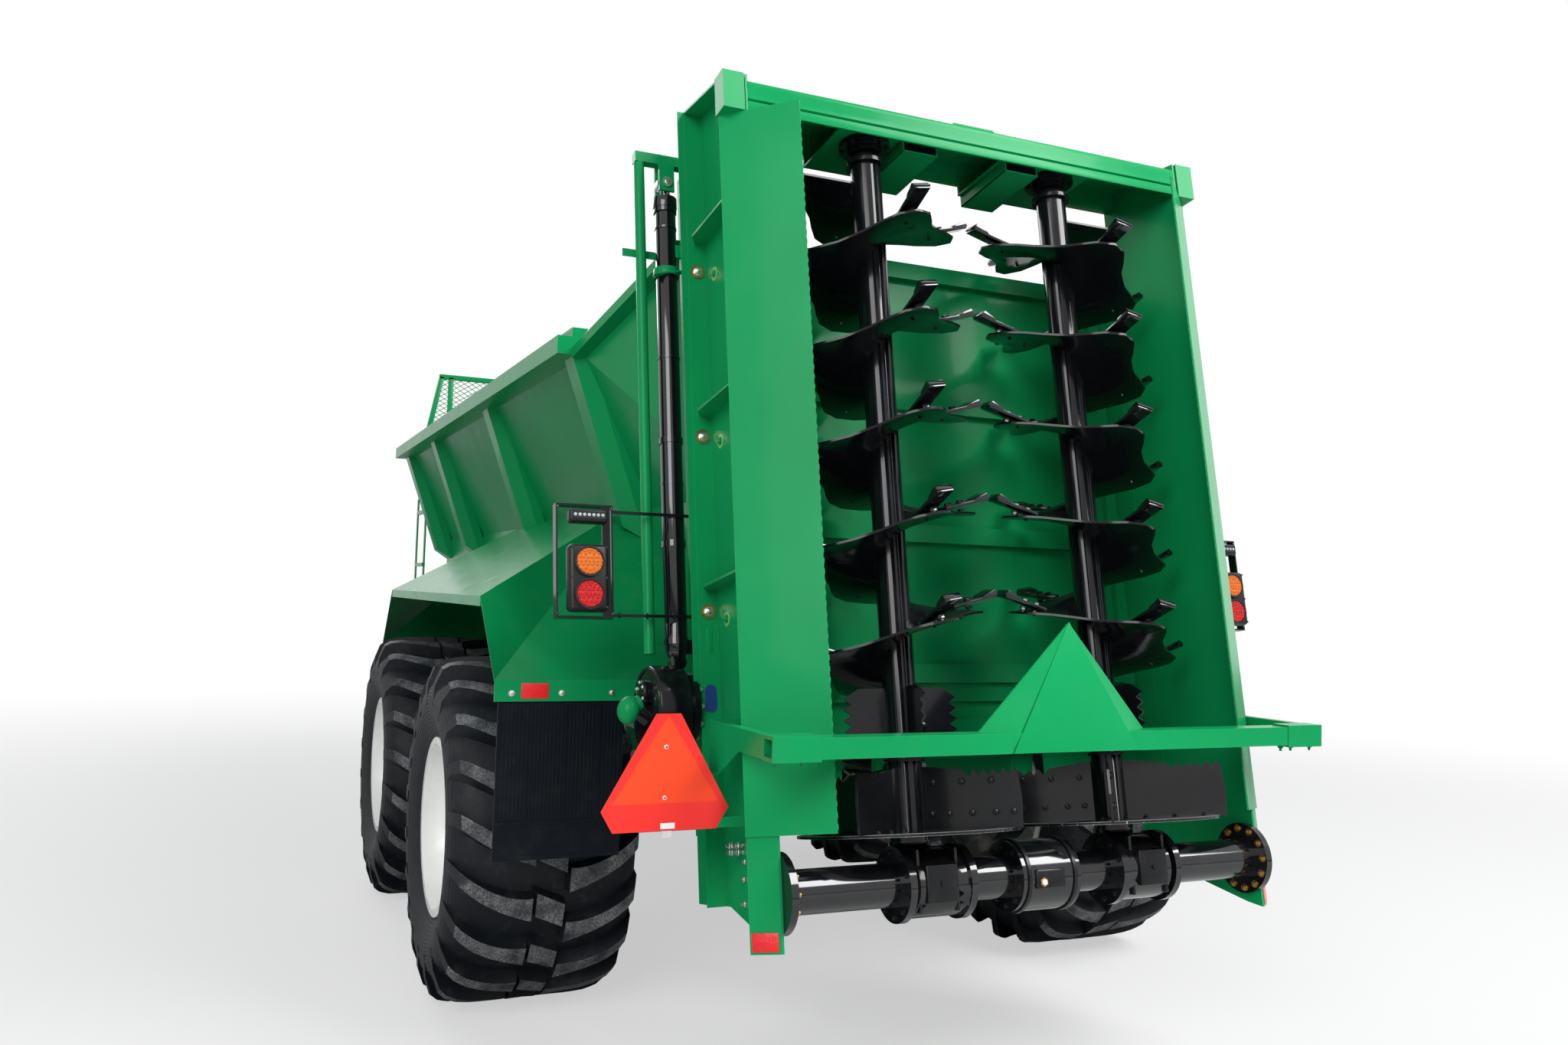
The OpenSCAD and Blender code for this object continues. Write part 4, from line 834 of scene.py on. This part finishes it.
def makeLamps():
    bm = bmesh.new()
    box = addBlock(bm, lampSet["boxLow"], lampSet["boxHigh"])
    roundEdges(bm, lampSet["boxRound"], 4, set(box))
    bar = addBlock(bm, lampSet["barLow"], lampSet["barHigh"])
    roundEdges(bm, lampSet["barRound"], 3, set(bar))
    addBlock(bm, lampSet["glassLow"], lampSet["glassHigh"], 4)
    u, w = lampSet["glassLow"][0], lampSet["lightW"]
    for k in range(lampSet["lights"]):
        y = lampSet["lightY"] + lampSet["lightStep"] * k
        addRod(bm, (u, y, w), (u - 2.5, y, w), 6, 14, 3, tip=3)
    for w, shade in zip(lampSet["lensW"], (2, 1)):  # red below, amber above
        addLens(bm, w, shade)
    back = lampSet["boxLow"][0]
    for y in lampSet["boxScrewY"]:
        for w in lampSet["boxScrewW"]:
            addRod(bm, (back, y, w), (back - 2, y, w), 4, 12, 5)
    shades = [lampPlastic, amberLens, redLens, clearLens, darkGlass, tubeBlack]
    finishPiece("tailLamps", bm, shades, both=True, instead=("lamps",))
    bm = bmesh.new()  # screws and ties on the lamp frame
    for y in lampSet["frameY"]:
        for w in lampSet["frameW"]:
            addBolt(bm, (lampSet["frameU"], y, w), (-1, 0, 0), 4, stud=0)
    for y in lampSet["tieY"]:
        addRing(bm, (lampSet["tieU"], y, lampSet["tieW"]), (0, 1, 0), 8, 10, 5, 16, 1)
    finishPiece("lampScrews", bm, [tubeBlack, lampPlastic], both=True)


fenderSet = {"x": 895, "boltY": (1589, 1410, 1225), "boltZ": 1292, "boltSize": 9,
             "reflectorLow": (892, 1457, 1273), "reflectorHigh": (895, 1555, 1327)}


def makeFenderFittings():
    bm = bmesh.new()
    for y in fenderSet["boltY"]:
        addBolt(bm, (fenderSet["x"], y, fenderSet["boltZ"]), (-1, 0, 0), fenderSet["boltSize"], stud=0.3)
    finishPiece("fenderBolts", bm, [zinc], place=footPlace, both=True)
    bm = bmesh.new()
    addBlock(bm, fenderSet["reflectorLow"], fenderSet["reflectorHigh"])
    roundEdges(bm, 1.5)
    finishPiece("fenderReflectors", bm, [redReflector], place=footPlace, both=True)


flapSet = {
    "x": 903.3, "yLow": 1175, "yHigh": 1632, "zLow": 707, "zBand": 838, "border": 6,
    "lines": (1262, 1385, 1508), "lineWide": 7, "lineOut": 4, "lineTop": 1262,
    "ribEdge": 14, "ribStep": 14, "ribWide": 4, "ribOut": 1.2, "ribTop": 1256,
}


def makeFlapRibs():  # upright lines and fine ribs above the band, and the bands across
    bm = bmesh.new()
    x, band, border = flapSet["x"], flapSet["zBand"], flapSet["border"]
    for y in flapSet["lines"]:
        addBlock(bm, (x - flapSet["lineOut"], y, band + 4), (x, y + flapSet["lineWide"], flapSet["lineTop"]))
    y = flapSet["yLow"] + flapSet["ribEdge"]
    while y < flapSet["yHigh"] - flapSet["ribEdge"]:
        addBlock(bm, (x - flapSet["ribOut"], y, band + 12), (x, y + flapSet["ribWide"], flapSet["ribTop"]))
        y += flapSet["ribStep"]
    low, high = flapSet["yLow"] + border, flapSet["yHigh"] - border
    addBlock(bm, (x - 3, low, band - 6), (x, high, band + 4))
    addBlock(bm, (x - 2.4, low, flapSet["zLow"] + 6), (x, high, flapSet["zLow"] + 16))
    roundEdges(bm, 1.2, 1)
    finishPiece("flapRibs", bm, [flapRubber], place=footPlace, both=True)


# mesh guard on the headboard
guardSet = {"x": 7349, "base": 2790.3, "top": 3445, "outer": 1000, "shoulder": 877, "post": 800, "innerPost": 270,
            "bar": 40, "innerBar": 30, "footHalf": 990, "foot": 24}
netSet = {"sheet": 2400, "cell": 46, "squash": 0.62, "wire": 8}


def makeGuard():
    bm = bmesh.new()
    x, base, top, bar = guardSet["x"], guardSet["base"], guardSet["top"], guardSet["bar"]
    half, shoulder = bar / 2, guardSet["shoulder"]
    posts = ((guardSet["outer"], shoulder, bar), (guardSet["post"], guardSet["post"], bar),
             (guardSet["innerPost"], guardSet["innerPost"], guardSet["innerBar"]))
    for s in (1, -1):
        for low, high, wide in posts:
            addBeam(bm, (x, s * low, base + 4), (x, s * high, top - half), wide, wide)
    addBlock(bm, (x - half, -shoulder - half, top - bar), (x + half, shoulder + half, top))
    addBlock(bm, (x - half, -guardSet["footHalf"], base), (x + half, guardSet["footHalf"], base + guardSet["foot"]))
    roundEdges(bm, 3)
    finishPiece("guardFrame", bm, [greenPaint], place=footPlace, instead=("front_guard",))
    bm = bmesh.new()
    count = int(netSet["sheet"] / netSet["cell"])
    upright = (Matrix.Translation((x, 0, (base + top) / 2)) @ Matrix.Rotation(math.pi / 2, 4, "Y")
               @ Matrix.Diagonal((netSet["squash"], 1, 1, 1)) @ Matrix.Rotation(math.pi / 4, 4, "Z"))
    bmesh.ops.create_grid(bm, x_segments=count, y_segments=count, size=netSet["sheet"] / 2, matrix=upright)
    lean = (guardSet["outer"] - shoulder) / (top - base)
    cuts = [((x, 0, base + 20), (0, 0, -1)), ((x, 0, top - 30), (0, 0, 1))]
    cuts += [((x, s * (guardSet["outer"] - 10), base), (0, s, lean)) for s in (1, -1)]
    for point, way in cuts:  # the net trimmed to the frame
        bmesh.ops.bisect_plane(bm, geom=bm.verts[:] + bm.edges[:] + bm.faces[:], plane_co=point, plane_no=way,
                               clear_outer=True)
    mesh = finishPiece("guardMesh", bm, [greenPaint], place=footPlace)
    wire = mesh.modifiers.new("wire", "WIREFRAME")
    wire.thickness = netSet["wire"] / 1000
    wire.use_even_offset = False


# lifting cylinders and floor drive
cylinderSet = {
    "u": 572, "y": 1060, "low": 604, "high": 2368, "bore": 20.05, "barrel": 40, "gland": 46,
    "foot": 36, "footR": 26, "eyeR": 30, "wallY": 991.3, "clampR": 50, "clampW": 2050, "clampHigh": 30,
    "bandInner": 40.2,
    "bands": ((44, 22, (660, 1395, 2310, 1010)), (42, 8, (1240, 1720, 2240)), (47, 34, (2046,))),  # radius, height, w
    "pinU": 538, "pinW": 2428,
}


def makeCylinders():  # barrel, gland, foot clevis and the clamps on the wall
    bm = bmesh.new()
    u, y, low, high = (cylinderSet[key] for key in ("u", "y", "low", "high"))
    bore, barrel, foot, wall = (cylinderSet[key] for key in ("bore", "barrel", "foot", "wallY"))
    addRod(bm, (u, y, low + foot), (u, y, low + 130), barrel, 96)
    addRing(bm, (u, y, low + 128), (0, 0, 1), bore, barrel, high - low - 128, 96)
    addRing(bm, (u, y, high - 40), (0, 0, 1), bore, cylinderSet["gland"], 42, 64)
    addRod(bm, (u, y, low), (u, y, low + foot), cylinderSet["footR"], 64, tip=barrel)
    addRod(bm, (u - 22, y, low - 6), (u + 22, y, low - 6), cylinderSet["eyeR"], 48)
    addBlock(bm, (542, wall, low + 20), (558, 1042, low + 70))
    addBlock(bm, (542, wall, 2125), (558, 1042, 2175), 1)
    addBlock(bm, (597.5, 1072, 2130), (604, 1223, 2160), 1)
    addRing(bm, (u, y, cylinderSet["clampW"]), (0, 0, 1), cylinderSet["bandInner"], cylinderSet["clampR"],
            cylinderSet["clampHigh"], 64, 1)
    addBeam(bm, (u - 34, 1000, 2068), (u - 34, 1122, 2040), 34, 6, 1)
    roundEdges(bm, 1.5)
    finishPiece("liftCylinders", bm, [tubeBlack, greenPaint], both=True, instead=("door_cylinders",))


def makeCylinderFittings():  # bands round the barrels, and the pins at the eyes of the rods
    bm = bmesh.new()
    y = cylinderSet["y"]
    for outer, height, places in cylinderSet["bands"]:
        for w in places:
            addRing(bm, (cylinderSet["u"], y, w), (0, 0, 1), cylinderSet["bandInner"], outer, height, 40)
    finishPiece("barrelBands", bm, [tubeBlack], both=True)
    bm = bmesh.new()
    u, w = cylinderSet["pinU"], cylinderSet["pinW"]
    addRod(bm, (u, y, w), (u - 6, y, w), 20, 24)
    addRod(bm, (u - 6, y, w), (u - 10, y, w), 9, 6)
    finishPiece("eyePins", bm, [zinc], "sliding_door", both=True)


driveSet = {
    "u": 525, "w": 430, "wallY": 991.3, "cover": 1075, "face": 1190, "drum": 150, "drumRound": 7, "shaftR": 60,
    "coverR": 124, "neckR": 112, "coverBoltR": 116, "rimInner": 132, "rimOuter": 143,
    "inletUp": 54, "inletR": 46, "inletRound": 5, "inletBoltR": 38, "fittingUp": 22, "plugDrop": 30, "plugR": 34,
    "capSize": (42, 40, 49), "capTurn": 0.25, "capOut": 64, "capNeck": 30,
}


def makeFloorDrive():  # round gearbox on the left wall, with its motor and green cap
    bm = bmesh.new()
    u, w, cover, face, fittingUp = (driveSet[key] for key in ("u", "w", "cover", "face", "fittingUp"))
    inlet = w + driveSet["inletUp"]
    addRod(bm, (u, driveSet["wallY"], w), (u, cover + 60, w), driveSet["shaftR"], 48)
    drum = addRod(bm, (u, cover, w), (u, face, w), driveSet["drum"], 112)
    roundEdges(bm, driveSet["drumRound"], 3, set(drum))
    addRod(bm, (u, cover - 40, w), (u, cover - 18, w), driveSet["coverR"], 96)
    addRod(bm, (u, cover - 20, w), (u, cover + 4, w), driveSet["neckR"], 96)
    addRing(bm, (u, face - 2, w), (0, 1, 0), driveSet["rimInner"], driveSet["rimOuter"], 5, 96)
    plate = addRod(bm, (u, face - 2, inlet), (u, face + 24, inlet), driveSet["inletR"], 48)
    roundEdges(bm, driveSet["inletRound"], 3, set(plate))
    addBoltCircle(bm, (u, cover - 40, w), (0, -1, 0), driveSet["coverBoltR"], 12, 9, 1, 0.4)
    addBoltCircle(bm, (u, face + 24, inlet), (0, 1, 0), driveSet["inletBoltR"], 6, 6, 1, 0, 0.5)
    addRod(bm, (u + 8, face + 10, w + fittingUp), (u + 8, face + 44, w + fittingUp), 14, 6, 1)
    addRod(bm, (u - 10, face - 2, w - driveSet["plugDrop"]), (u - 10, face + 30, w - 6), driveSet["plugR"], 32)
    finishPiece("floorDrive", bm, [blackPaint, zinc], instead=("floor_drive",))
    bm = bmesh.new()
    place = (Matrix.Translation((u, face + driveSet["capOut"], w)) @ Matrix.Rotation(driveSet["capTurn"], 4, "X")
             @ Matrix.Diagonal((*driveSet["capSize"], 1)))
    bmesh.ops.create_uvsphere(bm, u_segments=40, v_segments=24, radius=1, matrix=place)
    addRod(bm, (u, face + 24, w + fittingUp), (u, face + 56, w + 8), driveSet["capNeck"], 36)
    finishPiece("driveMotor", bm, [greenPaint])


# tyres: the turned sidewall from one outline, curved lugs on both halves and a block between them
tyreSet = {
    "lugs": 20, "radius": 691, "steps": 128,
    "side": ((311, 338), (314, 356), (338, 398), (361, 470), (363, 520), (354, 556), (334, 588), (302, 612),
             (246, 628), (140, 637), (0, 640)),
    "crown": ((0, 691), (200, 689), (270, 684), (315, 670), (345, 646), (360, 616), (365, 580)),
    "topBand": 16, "topFacing": 0.35,  # faces this near the crown are worn
}
lugSet = {"inner": 58, "outer": 365, "cuts": 11, "sink": 52, "endSink": 34, "curve": (10, 34, 112),
          "half": 44, "taper": 10, "topShare": 0.8, "rootWide": 12, "topEnd": 6, "topRoot": 9}
blockSet = {"across": 128, "run": 112, "skew": 62, "shrink": 0.84, "low": 632, "start": 0.02}


def along(points, x):  # straight lines between given points
    for (x0, y0), (x1, y1) in zip(points, points[1:]):
        if x <= x1:
            return y0 + (y1 - y0) * (x - x0) / (x1 - x0)
    return points[-1][1]


def wrap(vert, start):  # from the flat tread, across and along it, round the wheel
    side, run, up = vert.co
    turn = start + run / tyreSet["radius"]
    vert.co = (up * math.sin(turn), side, up * math.cos(turn))


def shadeTop(verts):  # the worn outer faces
    for face in {f for v in verts for f in v.link_faces}:
        middle = face.calc_center_median()
        outward = Vector((middle.x, 0, middle.z))
        face.normal_update()
        near = outward.length > along(tyreSet["crown"], abs(middle.y)) - tyreSet["topBand"]
        if near and abs(face.normal.dot(outward.normalized())) > tyreSet["topFacing"]:
            face.material_index = 1


def addLug(bm, start, side):
    made = bmesh.ops.create_cube(bm, size=1)["verts"]
    edges = {edge for vert in made for edge in vert.link_edges}
    lengthwise = [edge for edge in edges if abs(edge.verts[0].co.x - edge.verts[1].co.x) > 0.5]
    bmesh.ops.subdivide_edges(bm, edges=lengthwise, cuts=lugSet["cuts"])
    lug = [v for v in bm.verts if not v.tag]
    inner, outer = lugSet["inner"], lugSet["outer"]
    shift, slant, bow = lugSet["curve"]
    for vert in lug:
        t = vert.co.x + 0.5  # from the middle of the tread to the shoulder
        top = vert.co.z > 0
        across = inner + (outer - inner) * t
        middle = shift + slant * t + bow * t * t
        wide = (lugSet["half"] - lugSet["taper"] * t) * (lugSet["topShare"] if top else 1.0)
        wide += lugSet["rootWide"] * (1 - t) ** 5
        up = along(tyreSet["crown"], across)
        if top:
            across = across - lugSet["topEnd"] * t + lugSet["topRoot"] * (1 - t) ** 3
        else:
            up = up - lugSet["sink"] - lugSet["endSink"] * t * t
        vert.co = (side * across, middle + wide * (1 if vert.co.y > 0 else -1), up)
        wrap(vert, start)
        vert.tag = True
    shadeTop(lug)


def addMiddleBlock(bm, start):
    made = bmesh.ops.create_cube(bm, size=1)["verts"]
    for vert in made:
        top = vert.co.z > 0
        shrink = blockSet["shrink"] if top else 1.0
        run = vert.co.y * blockSet["run"] + vert.co.x * blockSet["skew"]
        up = tyreSet["radius"] if top else blockSet["low"]
        vert.co = (vert.co.x * blockSet["across"] * shrink, run * shrink, up)
        wrap(vert, start)
        vert.tag = True
    shadeTop(made)


def makeTyrePattern():
    bm = bmesh.new()
    points = [(-y, r) for y, r in tyreSet["side"][:-1]] + [(y, r) for y, r in reversed(tyreSet["side"])]
    chain = [bm.verts.new((r, y, 0)) for y, r in points]
    edges = [bm.edges.new(pair) for pair in zip(chain, chain[1:])]
    bmesh.ops.spin(bm, geom=chain + edges, axis=(0, 1, 0), angle=math.tau, steps=tyreSet["steps"], use_merge=True)
    for vert in bm.verts:
        vert.tag = True
    pitch = math.tau / tyreSet["lugs"]
    for k in range(tyreSet["lugs"]):
        addLug(bm, k * pitch, 1)
        addLug(bm, (k + 0.5) * pitch, -1)
        addMiddleBlock(bm, (k + blockSet["start"]) * pitch)
    pattern = bpy.data.meshes.new("tyrePattern")
    bm.to_mesh(pattern)
    bm.free()
    return pattern


def makeWheels():
    pattern = makeTyrePattern()
    for end, rubber in (("rear", rearTyre), ("front", frontTyre)):
        for s, side in ((1, "left"), (-1, "right")):
            name = end + "_" + side
            bm = bmesh.new()
            bm.from_mesh(pattern)
            place = (Matrix.Translation((axleSet[end + "X"], s * axleSet["y"], axleSet["z"]))
                     @ Matrix.Diagonal((0.001, s * 0.001, 0.001, 1)))
            finishPiece("tyre" + name.title().replace("_", ""), bm, [rubber, wornTread], "wheel_" + name,
                        place, sharp=28, instead=("tyre_" + name,))
            smoothCopy("rim_" + name, "wheel_" + name, rimPaint)
    bpy.data.meshes.remove(pattern)


print("modelling pieces")
makeWallNuts()
makeWallSlots()
makeFootStuds()
makeStripPieces()
makeRoofHandle()
makeTubeFittings()
makeBarFittings()
for isLeft in (True, False):
    makeBeater(isLeft)
makeUpperBearings()
makeSign()
makeLamps()
makeFenderFittings()
makeFlapRibs()
makeGuard()
makeCylinderFittings()
makeFloorDrive()
makeRoofBeam()
makeWheels()
for nodeName in ("gearbox_beam", "axles", "towing_ring", "jack_tube", "rear_shaft"):
    slotName = slotOf[nodeName]
    smoothCopy(nodeName, "machine", tubeBlack if slotName == "black_paint" else finish[slotName])
makeCylinders()
smoothCopy("door_rods", "sliding_door", chromeRod)
print("pieces done")
